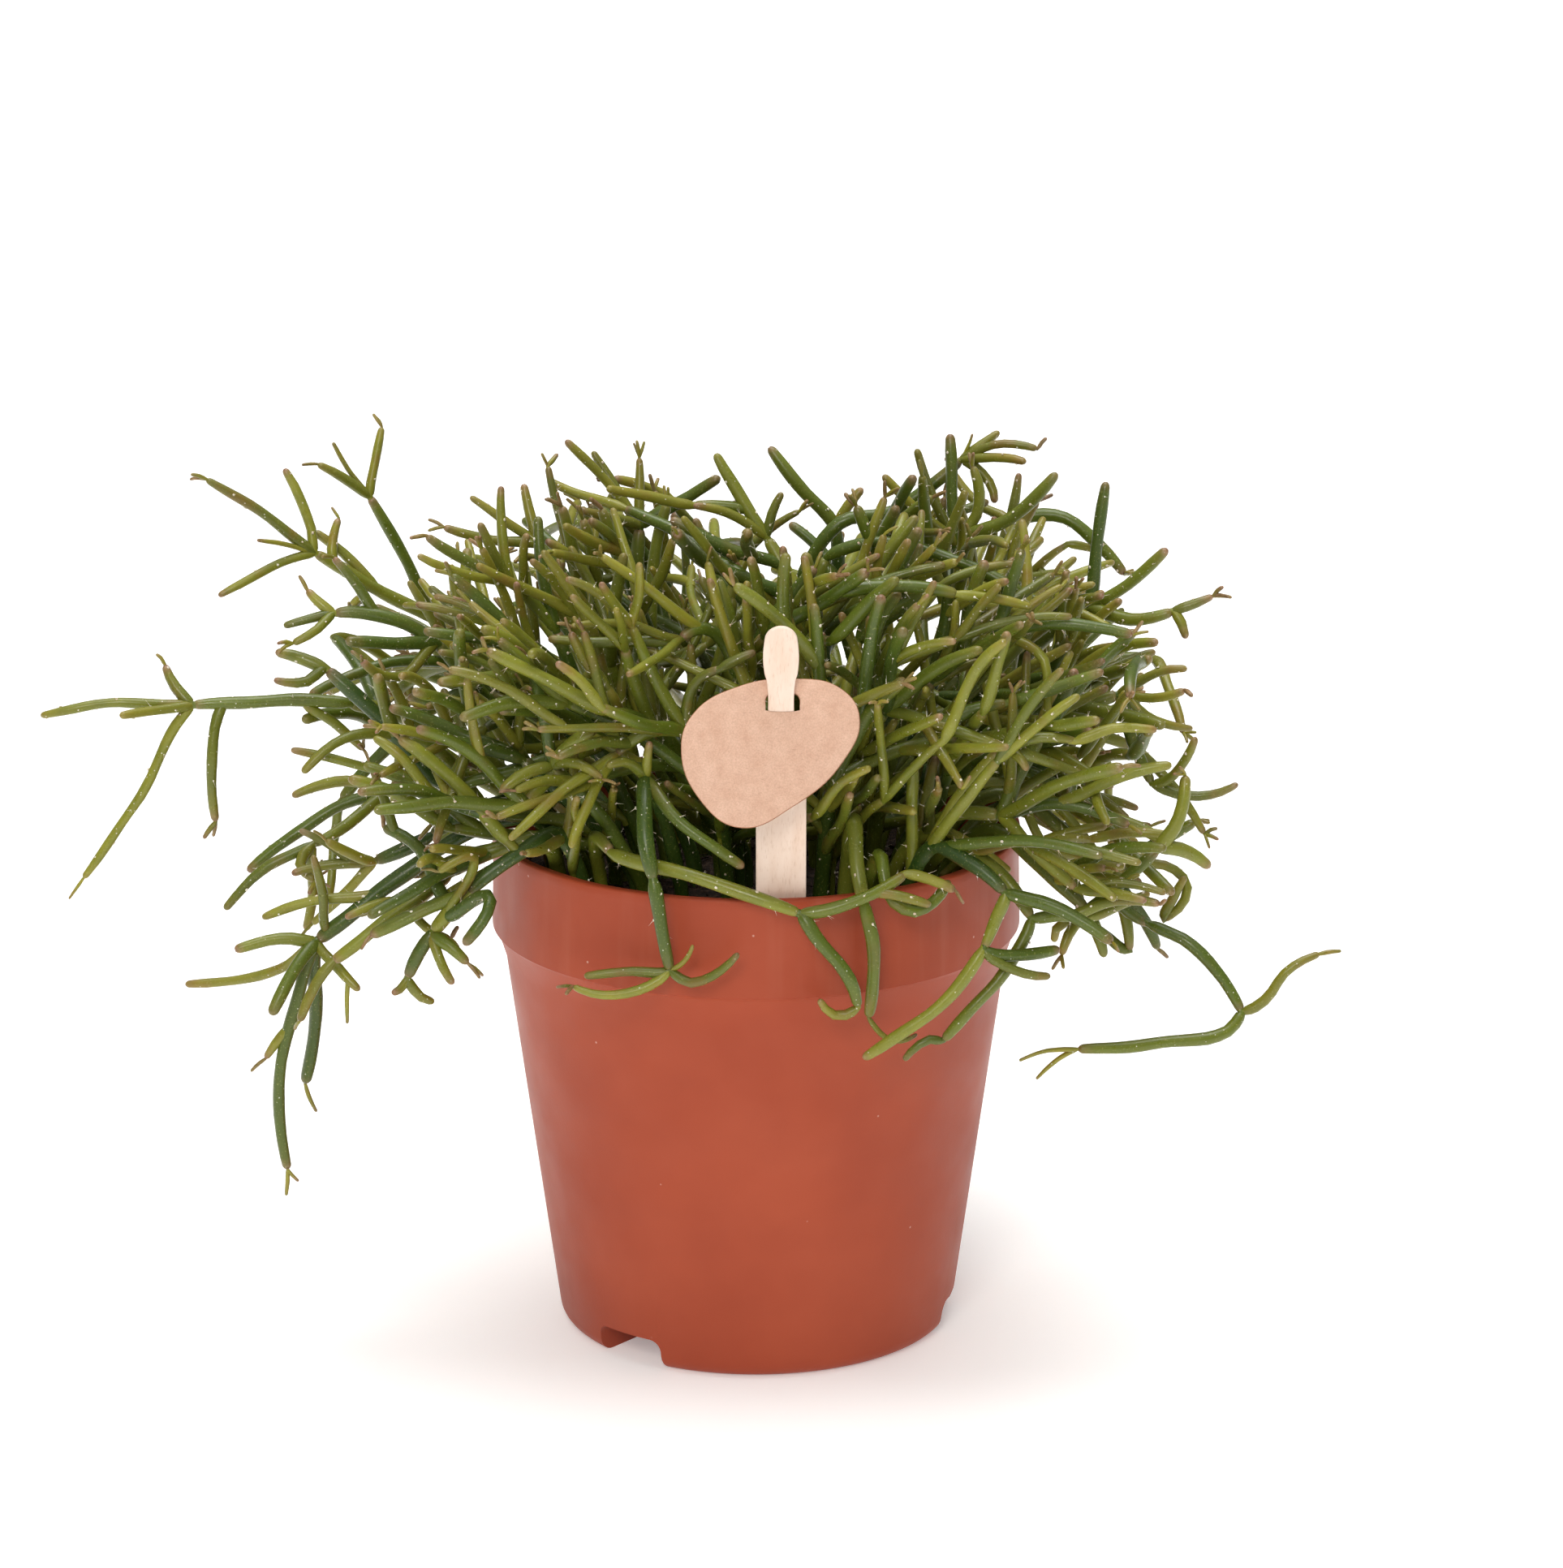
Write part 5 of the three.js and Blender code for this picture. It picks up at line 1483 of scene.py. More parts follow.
@dataclass(frozen=True)
class PottingMix:
    """The peat: a lumpy surface inside the pot, with loose crumbs and fibres on it."""

    seed: int = 77
    bottom: float = 9.2
    rings: int = 22
    steps: int = 96
    broad: Pair = (0.31, 0.27)
    broad_phase: float = 1.2
    slant: Pair = (0.5, 0.62)
    slant_share: float = 0.5
    rough: float = 0.9
    rough_scale: float = 0.35
    fractal: tuple[float, float, int] = (0.9, 2.1, 5)
    crumbs: int = 340
    crumb_margin: float = 3.0
    crumb_size: Pair = (0.5, 1.7)
    crumb_width: Pair = (0.8, 1.4)
    crumb_height: Pair = (0.5, 0.9)
    crumb_lift: float = 0.2
    crumb_wear: float = 0.35
    fibres: int = 110
    fibre_margin: float = 8.0
    fibre_size: Pair = (0.12, 0.35)
    fibre_length: Pair = (4, 11)
    fibre_tilt: float = 0.3
    fibre_lift: float = 0.5
    fibre_taper: float = 0.5
    fibre_sides: int = 5

    def surface(self, x: float, y: float) -> float:
        """Finds the height of the surface: the solid's lumps with finer ones on them.

        Args:
            x: The place across.
            y: The place in depth.

        Returns:
            The height there.
        """
        across, deep = self.broad
        broad = math.sin(across * x + self.broad_phase) * math.cos(deep * y)
        across, deep = self.slant
        slanting = math.sin(deep * y - across * x)
        rough = noise.fractal(Vector((x, y, 0)) * self.rough_scale, *self.fractal)
        lumps = SOIL.lump * (broad + self.slant_share * slanting)
        return SOIL.top + lumps + self.rough * rough

    def body(self) -> bpy.types.Mesh:
        """Makes the peat down to the pot's floor.

        Returns:
            Its mesh.
        """
        rim = POT.collar_inside - POT.gap
        step = POT.collar_bottom + POT.wall
        reaches = [rim * k / self.rings for k in range(self.rings, -1, -1)]
        profile = [
            (0, self.bottom), (POT.foot_radius - POT.foot - POT.wall, self.bottom),
            (POT.wall_top_radius - POT.wall - 2 * POT.gap, step), (rim, step + POT.collar_slope),
            *((r, SOIL.top) for r in reaches),
        ]
        bm = spun(profile, self.steps)
        for vert in bm.verts:
            if vert.co.z > SOIL.top - 0.01:
                vert.co.z = self.surface(vert.co.x, vert.co.y)
        return mesh_of(bm, "peat")

    @staticmethod
    def strewn(random: Draws, margin: float) -> Pair:
        """Draws a place on the surface.

        Args:
            random: The generator.
            margin: How far it stays off the pot.

        Returns:
            Its x and y.
        """
        reach, turn = (POT.collar_inside - margin) * math.sqrt(random()), math.tau * random()
        return reach * math.cos(turn), reach * math.sin(turn)

    def loose(self) -> bpy.types.Mesh:
        """Makes the crumbs and fibres that lie on it.

        Returns:
            Their mesh.
        """
        random = Draws(self.seed)
        bm = bmesh.new()
        for _crumb in range(self.crumbs):
            x, y = self.strewn(random, self.crumb_margin)
            size = random.between(*self.crumb_size)
            wide = size * random.between(*self.crumb_width)
            high = size * random.between(*self.crumb_height)
            turn = Matrix.Rotation(math.tau * random(), 4, "Z")
            tilt = Matrix.Rotation(random() - 0.5, 4, "X")
            at = Matrix.Translation((x, y, self.surface(x, y) + self.crumb_lift * size))
            pose = at @ (turn @ tilt) @ Matrix.Diagonal((wide, size, high, 1))
            made = bmesh.ops.create_icosphere(bm, subdivisions=1, radius=1.0, matrix=pose)["verts"]
            for vert in made:
                off = Vector((random() - 0.5, random() - 0.5, random() - 0.5))
                vert.co += off * self.crumb_wear * size
        for _fibre in range(self.fibres):
            x, y = self.strewn(random, self.fibre_margin)
            turn = Matrix.Rotation(math.tau * random(), 4, "Z")
            lie = Matrix.Rotation(math.pi / 2 + self.fibre_tilt * (random() - 0.5), 4, "X")
            at = Matrix.Translation((x, y, self.surface(x, y) + self.fibre_lift))
            thick = random.between(*self.fibre_size)
            length = random.between(*self.fibre_length)
            ends = (thick, self.fibre_taper * thick)
            cone(bm, ends, length, self.fibre_sides, at @ (turn @ lie))
        return mesh_of(bm, "crumbs")

    def build(self, peat: Finish) -> None:
        """Makes the peat in place of its solid, and what lies on it."""
        finish_piece("peat_bed", self.body(), [peat], ["soil"])
        finish_piece("peat_crumbs", self.loose(), [peat])


class Handle(Enum):
    """How an outline runs through a point."""

    SMOOTH = "AUTO"
    SHARP = "VECTOR"


def plate(
    loops: Sequence[Sequence[tuple[float, float, Handle]]], thickness: float, rounding: float
) -> bpy.types.Object:
    """A flat plate with rounded edges, lying on the plane z = 0, in millimetres.

    Args:
        loops: Its outline and then its holes, each of points (across, up, handle).
        thickness: Its thickness.
        rounding: The radius of its edges.

    Returns:
        A working object of it.
    """
    curve = bpy.data.curves.new("plate", "CURVE")
    curve.dimensions = "2D"
    curve.fill_mode = "BOTH"
    curve.resolution_u = 10
    curve.extrude = thickness / 2 - rounding
    curve.bevel_depth = rounding
    curve.bevel_resolution = 3
    curve.offset = -rounding
    for loop in loops:
        spline = curve.splines.new("BEZIER")
        spline.use_cyclic_u = True
        spline.bezier_points.add(len(loop) - 1)
        for point, (x, y, handle) in zip(spline.bezier_points, loop):
            point.co = (x, y, 0)
            point.handle_left_type = point.handle_right_type = handle.value
    made = linked("plate", curve)
    graph = bpy.context.evaluated_depsgraph_get()
    mesh = bpy.data.meshes.new_from_object(made.evaluated_get(graph))
    drop(made)
    bm = bmesh.new()
    bm.from_mesh(mesh)
    bmesh.ops.remove_doubles(bm, verts=bm.verts, dist=1e-3)
    bmesh.ops.recalc_face_normals(bm, faces=bm.faces)
    for face in bm.faces:
        face.material_index = int(abs(face.normal.z) < 0.8)
    return object_of(bm, "plate")


@dataclass(frozen=True)
class PlantLabel:
    """The plant label: a birch stake, and a bare kraft tag that it is threaded through."""

    edge: float = 0.3
    board_edge: float = 0.5
    neck: float = 6.2
    head: float = 7.2
    neck_end: float = 51.6
    head_start: float = 53.5
    slot_sides: Pair = (-3.25, 3.95)
    slot_foot: float = -0.15
    slot_slant: float = 2.85
    spare: float = 1.0
    sharp: float = 50.0

    def stood(self, flat: bpy.types.Object, pose: Matrix, name: str) -> bpy.types.Mesh:
        """Stands a flat working object up in its place.

        Args:
            flat: The object, which is removed.
            pose: What takes it from the plane z = 0 to its place.
            name: The mesh's name.

        Returns:
            Its mesh.
        """
        bm = bmesh.new()
        bm.from_mesh(flat.data)
        bmesh.ops.transform(bm, matrix=pose, verts=bm.verts)
        drop(flat)
        return mesh_of(bm, name, self.sharp)

    def stake(self) -> bpy.types.Mesh:
        """Makes the stake: pointed foot, shoulders, neck and rounded head.

        Returns:
            Its mesh.
        """
        half, neck, head = LABEL.width / 2, self.neck / 2, self.head / 2
        foot = LABEL.tip + LABEL.point_length
        smooth, sharp = Handle.SMOOTH, Handle.SHARP
        crown = arc((0, LABEL.top - head), head, 0, 180, 6)
        right = [
            (LABEL.tip_width / 2, LABEL.tip, sharp), (half, foot, sharp),
            (half, LABEL.shoulder, sharp), (half - 0.35, LABEL.shoulder + 2.0, smooth),
            (neck + 0.35, LABEL.neck_start - 2.0, smooth), (neck, LABEL.neck_start, smooth),
            (neck, self.neck_end, smooth), (head, self.head_start, smooth),
        ]
        left = [(-x, y, handle) for x, y, handle in reversed(right)]
        outline = [*right, *((x, y, smooth) for x, y in crown), *left]
        lean = Matrix.Rotation(math.pi / 2 + LABEL.lean, 4, "X")
        pose = Matrix.Translation((LABEL.x, LABEL.rim_y, POT.height)) @ lean
        return self.stood(plate([outline], LABEL.thickness, self.edge), pose, "stake")

    def tag(self) -> bpy.types.Mesh:
        """Makes the tag: a pebble-shaped board with a slot whose lower end slants.

        Returns:
            Its mesh.
        """
        h, c = LABEL.slot_height / 2, LABEL.slot_corner
        left, right = self.slot_sides
        foot = self.slot_foot
        corners = [(right, h, 0), (left, h, 90), (left, foot, 180), (right, foot, 270)]
        slot = []
        for x, y, start in corners:
            centre = (x - math.copysign(c, x), y - math.copysign(c, y))
            slot += [(*p, Handle.SMOOTH) for p in arc(centre, c, start, start + 90, 3)]
        outline = [(x, y, Handle.SMOOTH) for x, y in LABEL.outline]
        board = plate([outline, slot], LABEL.tag_thickness, self.board_edge)
        wedge = self.wedge()
        cut(board, wedge, "DIFFERENCE")
        drop(wedge)
        tilt = Matrix.Rotation(math.pi / 2 - LABEL.tag_tilt, 4, "X")
        at = (LABEL.x, float(LABEL.plane(LABEL.slot_z)), LABEL.slot_z)
        return self.stood(board, Matrix.Translation(at) @ tilt, "tag")

    def wedge(self) -> bpy.types.Object:
        """Makes the wedge that the stake takes out of the board below the slot.

        Returns:
            A working object of it.
        """
        half = LABEL.tag_thickness / 2
        rise = self.slot_slant / LABEL.tag_thickness * self.spare
        top = self.slot_foot + rise + 0.5
        back, front = -half - self.spare, half + self.spare
        profile = [
            (self.slot_foot - self.slot_slant - rise, back), (self.slot_foot + rise, front),
            (top, front), (top, back),
        ]
        left, right = self.slot_sides
        bm = bmesh.new()
        face = bm.faces.new([bm.verts.new((left - 0.1, y, z)) for y, z in profile])
        drawn = parts(bmesh.ops.extrude_face_region(bm, geom=[face])["geom"], bmesh.types.BMVert)
        bmesh.ops.translate(bm, verts=drawn, vec=(right - left + 0.2, 0, 0))
        bmesh.ops.recalc_face_normals(bm, faces=bm.faces)
        for side in bm.faces:
            side.material_index = 1
        return object_of(bm, "wedge")

    def build(self, wood: Finish, board: Finish, edge: Finish) -> None:
        """Makes both in place of their solids."""
        finish_piece("birch_stake", self.stake(), [wood, wood], ["label_stake"])
        finish_piece("kraft_tag", self.tag(), [board, edge], ["label_tag"])


@dataclass
class StemSkinner:
    """Turns one spray's shoots into fine stems with rounded ends, areoles and bristles."""

    neck: float = 0.62
    neck_length: float = 3.0
    root_above_hole: float = 8.0
    wave: float = 0.22
    wave_length: float = 25.0
    wave_pace: Pair = (0.18, 0.34)
    wave_lag: float = 0.8
    ripple: float = 0.05
    ripple_pace: Pair = (0.25, 0.5)
    taper: float = 0.24
    taper_length: float = 6.0
    near: tuple[float, ...] = (0.0, 0.8, 1.8, 3.2)
    cap: tuple[float, ...] = (1.0, 0.62, 0.3, 0.08)
    cap_start: float = 1.4
    cap_least: float = 0.02
    ring_gaps: Pair = (0.4, 0.3)
    step: float = 2.6
    thin_step: float = 1.3
    ripeness_spread: float = 0.3
    fresh: float = 0.25
    fresh_length: float = 9.0
    brown: Pair = (0.1, 1.0)
    brown_length: float = 2.2
    areole_start: Pair = (3.0, 6.0)
    areole_end: float = 0.8
    areole_above_peat: float = 3.0
    areole_spacing: Pair = (3.2, 6.0)
    areole_size: Pair = (0.17, 0.36)
    areole_turn: float = 2.4
    areole_stray: float = 0.4
    areole_sink: float = 0.97
    tuft: Pair = (1.25, 0.55)
    bristles: float = 3.4
    bristle_ahead: Pair = (0.1, 1.2)
    bristle_aside: Pair = (-0.7, 0.7)
    bristle_length: Pair = (0.7, 1.9)
    bristle_radius: Pair = (0.055, 0.012)

    def __post_init__(self) -> None:
        """Starts with no shoot."""
        self.total = bmesh.new()
        self.start()

    def start(self) -> None:
        """Starts a shoot's own mesh, with the numbers that its points carry."""
        self.bm = bmesh.new()
        floats = self.bm.verts.layers.float
        names = ("ripeness", "tone", "dryness")
        self.ripeness, self.tone, self.dryness = (floats.new(name) for name in names)

    def add(self, shoot: Shoot, random: Draws) -> None:
        """Makes one shoot with its areoles and adds it to the spray.

        Args:
            shoot: The shoot.
            random: Its generator.
        """
        self.stem(shoot, random)
        self.areoles(shoot, random)
        bmesh.ops.recalc_face_normals(self.bm, faces=self.bm.faces)
        made = bpy.data.meshes.new("shoot")
        self.bm.to_mesh(made)
        self.bm.free()
        self.total.from_mesh(made)
        bpy.data.meshes.remove(made)
        self.start()

    def rings(self, shoot: Shoot, random: Draws) -> tuple[np.ndarray, np.ndarray, np.ndarray]:
        """Sets out a shoot's rings.

        Args:
            shoot: The shoot.
            random: Its generator.

        Returns:
            Their middles, their radii and how far each is from the base.
        """
        gauge = GAUGES[shoot.age]
        line = bend(shoot.route, shoot.lead, fine_steps)
        sunk = -STEM.sink if shoot.parent else SOIL.hole_bottom + self.root_above_hole - line[0][2]
        line = np.vstack([line[0] + shoot.way * sunk, line])
        run = lengths_of(line)
        base, end = run[1], run[-1]
        tip_radius = gauge.tip * shoot.thick
        near = base + np.array(self.near)
        step = self.thin_step if shoot.age is THIN else self.step
        middle = np.arange(near[-1] + step, end - self.cap_start * tip_radius, step)
        cap = end - tip_radius * np.array(self.cap)
        near = near[near < cap[0] - self.ring_gaps[0]]
        middle = middle[middle < cap[0] - self.ring_gaps[1]]
        stations = np.unique(np.concatenate([[0.0], near, middle, cap]))
        share = np.clip((stations - base) / (end - base), 0, 1)
        radii = (gauge.base + (gauge.tip - gauge.base) * share) * shoot.thick
        if shoot.parent:
            waist = np.clip((stations - base) / self.neck_length, 0, 1)
            radii *= self.neck + (1 - self.neck) * waist * (2 - waist)
        ripple = np.sin(stations * random.between(*self.ripple_pace) + math.tau * random())
        radii *= 1 + self.ripple * ripple
        radii *= 1 - self.taper * np.clip(1 - (end - stations) / self.taper_length, 0, 1) ** 2
        depth = np.clip((stations - (end - tip_radius)) / tip_radius, 0, 1)
        radii *= np.sqrt(np.maximum(1 - depth**2, self.cap_least))
        middles = points_at(line, stations)
        sway = self.wave * np.sin(share * math.pi) * min(1.0, (end - base) / self.wave_length)
        phase, pace = math.tau * random(), random.between(*self.wave_pace)
        side = unit(np.cross(shoot.lead, UP) + 1e-6)
        middles += (sway * np.sin(stations * pace + phase))[:, None] * side
        middles[:, 2] += sway * np.cos(stations * pace * self.wave_lag + phase)
        return middles, radii, stations - base

    def stem(self, shoot: Shoot, random: Draws) -> None:
        """Adds a shoot's stem: a ring drawn out along its line, ring by ring, to a rounded end.

        Args:
            shoot: The shoot.
            random: Its generator.
        """
        gauge = GAUGES[shoot.age]
        middles, radii, stations = self.rings(shoot, random)
        points = [Vector(p) for p in middles]
        ends = zip([points[0], *points], [*points[1:], points[-1]])
        ways = [(ahead - behind).normalized() for behind, ahead in ends]
        ring = bmesh.ops.create_circle(
            self.bm,
            cap_ends=True,
            segments=gauge.sides,
            radius=float(radii[0]),
            matrix=Matrix.Translation(points[0]) @ z_turned_to(ways[0]),
        )["verts"]
        edges = list({e for v in ring for e in v.link_edges})
        tone = random()
        tip_dry = random.between(*self.brown)
        ripeness = gauge.ripeness + self.ripeness_spread * (random() - 0.5)
        ripeness = min(1.0, max(0.0, ripeness))
        total = stations[-1]
        self.mark(ring, ripeness, tone, 0.0)
        for i in range(1, len(points)):
            made = bmesh.ops.extrude_edge_only(self.bm, edges=edges)["geom"]
            ring, edges = parts(made, bmesh.types.BMVert), parts(made, bmesh.types.BMEdge)
            turn = ways[i - 1].rotation_difference(ways[i])
            grow = float(radii[i] / radii[i - 1])
            for vert in ring:
                vert.co = points[i] + turn @ (vert.co - points[i - 1]) * grow
            to_tip = total - stations[i]
            fresh = self.fresh * max(0.0, 1 - to_tip / self.fresh_length)
            brown = max(shoot.dry, tip_dry * max(0.0, 1 - to_tip / self.brown_length))
            self.mark(ring, max(0.0, ripeness - fresh), tone, brown)
        bmesh.ops.contextual_create(self.bm, geom=edges)

    def mark(
        self, verts: Sequence[bmesh.types.BMVert], ripeness: float, tone: float, dryness: float
    ) -> None:
        """Writes the numbers that the stem's finish reads.

        Args:
            verts: The points that carry them.
            ripeness: From 0, young, to 1, old.
            tone: From 0, dark, to 1, pale.
            dryness: From 0, fresh, to 1, brown.
        """
        for vert in verts:
            vert[self.ripeness] = ripeness
            vert[self.tone] = tone
            vert[self.dryness] = dryness

    def areoles(self, shoot: Shoot, random: Draws) -> None:
        """Adds the woolly dots and bristles that wind round a shoot.

        Args:
            shoot: The shoot.
            random: Their generator.
        """
        if shoot.age is THIN:
            return
        middles, radii, stations = self.rings(shoot, Draws(1))
        at = random.between(*self.areole_start)
        turn = math.tau * random()
        while at < stations[-1] - self.areole_end:
            centre, ahead = (
                np.array([np.interp(far, stations, middles[:, k]) for k in range(3)])
                for far in (at, at + 1.0)
            )
            radius = float(np.interp(at, stations, radii))
            way = Vector(unit(ahead - centre + 1e-9))
            side = way.orthogonal().normalized()
            out = (Matrix.Rotation(turn, 3, way) @ side).normalized()
            if centre[2] > SOIL.top + self.areole_above_peat:
                self.areole(Vector(centre) + out * radius * self.areole_sink, out, way, random)
            at += random.between(*self.areole_spacing)
            turn += self.areole_turn + self.areole_stray * (random() - 0.5)

    def areole(self, at: Vector, out: Vector, way: Vector, random: Draws) -> None:
        """Adds one areole: a flat tuft of wool with a few bristles.

        Args:
            at: Its place on the stem.
            out: The way out of the stem there.
            way: The stem's way there.
            random: Its generator.
        """
        across = out.cross(way).normalized()
        frame = Matrix((across, way, out)).transposed().to_4x4()
        size = random.between(*self.areole_size)
        along_stem, proud = self.tuft
        flat = Matrix.Diagonal((size, along_stem * size, proud * size, 1))
        tuft = Matrix.Translation(at) @ frame @ flat
        faces_before = len(self.bm.faces)
        bmesh.ops.create_icosphere(self.bm, subdivisions=1, radius=1.0, matrix=tuft)
        for _bristle in range(int(random.between(0, self.bristles))):
            ahead = way * random.between(*self.bristle_ahead)
            lean = out + ahead + across * random.between(*self.bristle_aside)
            lean.normalize()
            length = random.between(*self.bristle_length)
            pose = Matrix.Translation(at + lean * length * 0.5) @ z_turned_to(lean)
            cone(self.bm, self.bristle_radius, length, 3, pose)
        self.bm.faces.ensure_lookup_table()
        for index in range(faces_before, len(self.bm.faces)):
            self.bm.faces[index].material_index = 1


# Twigs seen at the outline and in front: age, start and end on the elevation plane y = 0.
SEEN_TWIGS: tuple[tuple[Age, Pair, Pair], ...] = (
    (YOUNG, (-84, 174), (-99, 186)), (YOUNG, (-84.5, 166.5), (-95, 180)),
    (YOUNG, (-103, 145.5), (-89, 135)), (OLD, (-8.5, 181), (-19, 190)),
    (MID, (-3, 190.5), (-14, 192)), (MID, (24, 185), (22.5, 192)),
    (MID, (29, 152.5), (45, 161)), (MID, (-26.5, 165.5), (-12, 167)),
    (YOUNG, (-8, 153.5), (0, 158)), (YOUNG, (-44, 143.5), (-28, 164)),
    (YOUNG, (-34, 143), (-39, 163)), (YOUNG, (-31, 139), (-25, 158)),
    (YOUNG, (62, 176), (70, 183)), (YOUNG, (70, 182.5), (77, 181.5)),
    (YOUNG, (38, 151), (51, 156)), (MID, (40.5, 142), (57, 146)),
    (YOUNG, (-92, 96), (-80, 98)), (YOUNG, (-86, 100), (-113, 95)),
    (YOUNG, (-107, 69), (-113, 61)), (THIN, (-94.5, 80), (-94, 69.5)),
    (YOUNG, (-48.5, 122), (-47, 107)), (YOUNG, (-52, 108), (-59, 115)),
    (YOUNG, (93, 94.5), (98, 105)), (YOUNG, (85, 85), (72, 95)), (MID, (17, 178), (23, 151)),
    (YOUNG, (17, 178), (19.5, 186)), (MID, (14, 122), (10, 158)),
    (YOUNG, (60, 112), (80, 117)), (YOUNG, (62, 104), (84, 107)),
    (YOUNG, (66, 120), (87, 113)), (YOUNG, (70, 112), (88, 103)),
    (YOUNG, (72, 118), (84, 122)), (YOUNG, (-92, 108), (-104, 116)),
    (YOUNG, (40, 118), (58, 106)), (YOUNG, (50, 118), (44, 102)),
    (YOUNG, (56, 112), (42, 105)), (YOUNG, (24, 104), (40, 98)),
    (YOUNG, (12, 120), (24, 106)), (YOUNG, (18, 122), (28, 146)),
    (YOUNG, (68, 126), (87, 121)), (YOUNG, (70, 116), (90, 117)),
    (YOUNG, (76, 106), (93, 112)),
)


@dataclass(frozen=True)
class Mass:
    """How far the plant's dense mass reaches from its middle on the elevation plane y = 0."""

    middle: Pair = (-6.0, 122.0)
    rim: tuple[Pair, ...] = (
        (-60, 99), (-84, 93), (-96, 88), (-89, 104), (-91, 124), (-80, 150), (-80, 164),
        (-75, 172), (-66, 181), (-54, 188), (-42, 195), (-24, 190), (-6, 185), (8, 178),
        (20, 183), (31, 193), (46, 199), (57, 191), (66, 182), (79, 174), (88, 162),
        (86, 144), (88, 122), (93, 106), (90, 94), (74, 85), (52, 90), (0, 98),
    )

    def beyond(self, points: np.ndarray) -> float:
        """Measures how far out of the mass some elevation points go.

        Args:
            points: The points, one a row.

        Returns:
            How far outside the outermost is, or less than 0 where all are inside.
        """
        rim = np.array(self.rim) - self.middle
        turns = np.arctan2(rim[:, 1], rim[:, 0])
        order = np.argsort(turns)
        reaches = np.hypot(*rim.T)[order]
        off = points - self.middle
        around = np.arctan2(off[:, 1], off[:, 0])
        reach = np.interp(around, turns[order], reaches, period=math.tau)
        return float((np.hypot(off[:, 0], off[:, 1]) - reach).max())


@dataclass
class Twigs:
    """Sprouts further twigs from the sprays, so that they stand as thick as the real plant."""

    growth: Growth
    seed: int = 4127
    tries: int = 12
    gap: float = 0.1
    generations: int = 3
    room: Dome = Dome(radius=107, top=200, low=88, shoulder=44, front=-66)
    mass: Mass = Mass()
    margin: float = 5.0
    fringe: float = 13.0
    heart: tuple[float, float, float] = (4.0, 8.0, 88.0)
    outward: float = 0.6
    bow: float = 0.1
    sag: float = 0.14
    label_margin: float = 3.0
    pot_face: tuple[float, float, float] = (62.0, -38.0, 115.0)
    mid_share: float = 0.4
    end_spread: float = 0.72
    side_spread: float = 1.05
    side_starts: Pair = (0.2, 0.85)
    shorter: Pair = (0.8, 1.0)
    bud_share: float = 0.36
    bud_spread: float = 1.1
    buds: Pair = (0.6, 2.9)
    dry_share: float = 0.5
    dryness: Pair = (0.3, 0.8)
    join_reach: float = 9.0
    join_tries: int = 4
    join_start: float = 0.1
    join_bow: float = 0.05
    few: tuple[str, ...] = (
        "front_drop", "front_swag", "front_star", "front_right_drop",
        "rim_loop", "right_trailer", "left_reach", "left_trailer",
    )
    lengths: tuple[Pair, ...] = ((28, 48), (24, 46), (17, 36), (1.6, 4.4))
    ends: tuple[Pair, ...] = ((2.2, 4.2), (1.5, 3.7), (-0.9, 1.8))
    sides: tuple[Pair, ...] = ((2.2, 5.2), (-0.2, 1.9), (-1.5, 0.7))

    def allowed(self, samples: np.ndarray, fringe: float) -> bool:
        """Whether a twig may run here.

        Args:
            samples: Its cross-sections' middles.
            fringe: How far it may stand out of the plant's mass.

        Returns:
            True in the dome and the mass, before neither the pot's face nor the label.
        """
        x, y, z = samples.T
        side, face, top = self.pot_face
        before_pot = (y < face) & (np.abs(x) < side) & (z < top)
        seen = elevation(samples)
        across, up = seen[:, 0] - LABEL.x, seen[:, 1]
        before = y < LABEL.plane(z) + self.label_margin
        stake = np.abs(across) < LABEL.width / 2 + self.label_margin
        stake &= up < POT.height + LABEL.top
        tag = np.abs(across - LABEL.middle[0]) < LABEL.half[0] + self.label_margin
        tag &= np.abs(up - LABEL.slot_z - LABEL.middle[1]) < LABEL.half[1] + self.label_margin
        clear = not (before_pot | (before & (stake | tag))).any()
        return clear and self.room.holds(samples[-1]) and self.mass.beyond(seen) < fringe

    def route(
        self, at: np.ndarray, heading: np.ndarray, length: float, spread: float, random: Draws
    ) -> list[np.ndarray]:
        """Draws a gently bowed way on: onwards, outwards, and a little down with its weight.

        Args:
            at: Where it starts.
            heading: The way that leads there.
            length: Its length.
            spread: How far it turns.
            random: The generator.

        Returns:
            Its middle and its end.
        """
        outward = unit(at - np.array(self.heart))
        stray = 2 * spread * np.array([random() - 0.5 for _axis in range(3)])
        way = unit(unit(heading) + self.outward * outward + stray)
        bow = self.bow * length * np.array([random() - 0.5 for _axis in range(3)])
        sag = self.sag * length * math.hypot(at[0], at[1]) / self.room.radius
        return [at + way * (length / 2) + bow, at + way * length - sag * UP]

    def sprout(
        self, spray: Spray, parent: float, age: Age, spread: float, random: Draws
    ) -> bool:
        """Tries to grow one twig.

        Args:
            spray: Its spray.
            parent: The shoot that it grows from, and how far along it.
            age: Its age.
            spread: How far it turns from its parent's way.
            random: Its generator.

        Returns:
            Whether it found room.
        """
        at, heading = spray.start_of(parent)
        short, long = self.lengths[RANKS[age]]
        for attempt in range(self.tries):
            length = long - (long - short) * attempt / self.tries
            length *= random.between(*self.shorter)
            route = self.route(at, heading, length, spread, random)
            shoot = self.growth.try_shoot(spray, parent, age, route, self.gap)
            fringe = self.fringe * random() ** 3 - self.margin
            if shoot and (age is THIN or self.allowed(shoot.samples, fringe)):
                self.growth.keep(spray, shoot)
                return True
        return False

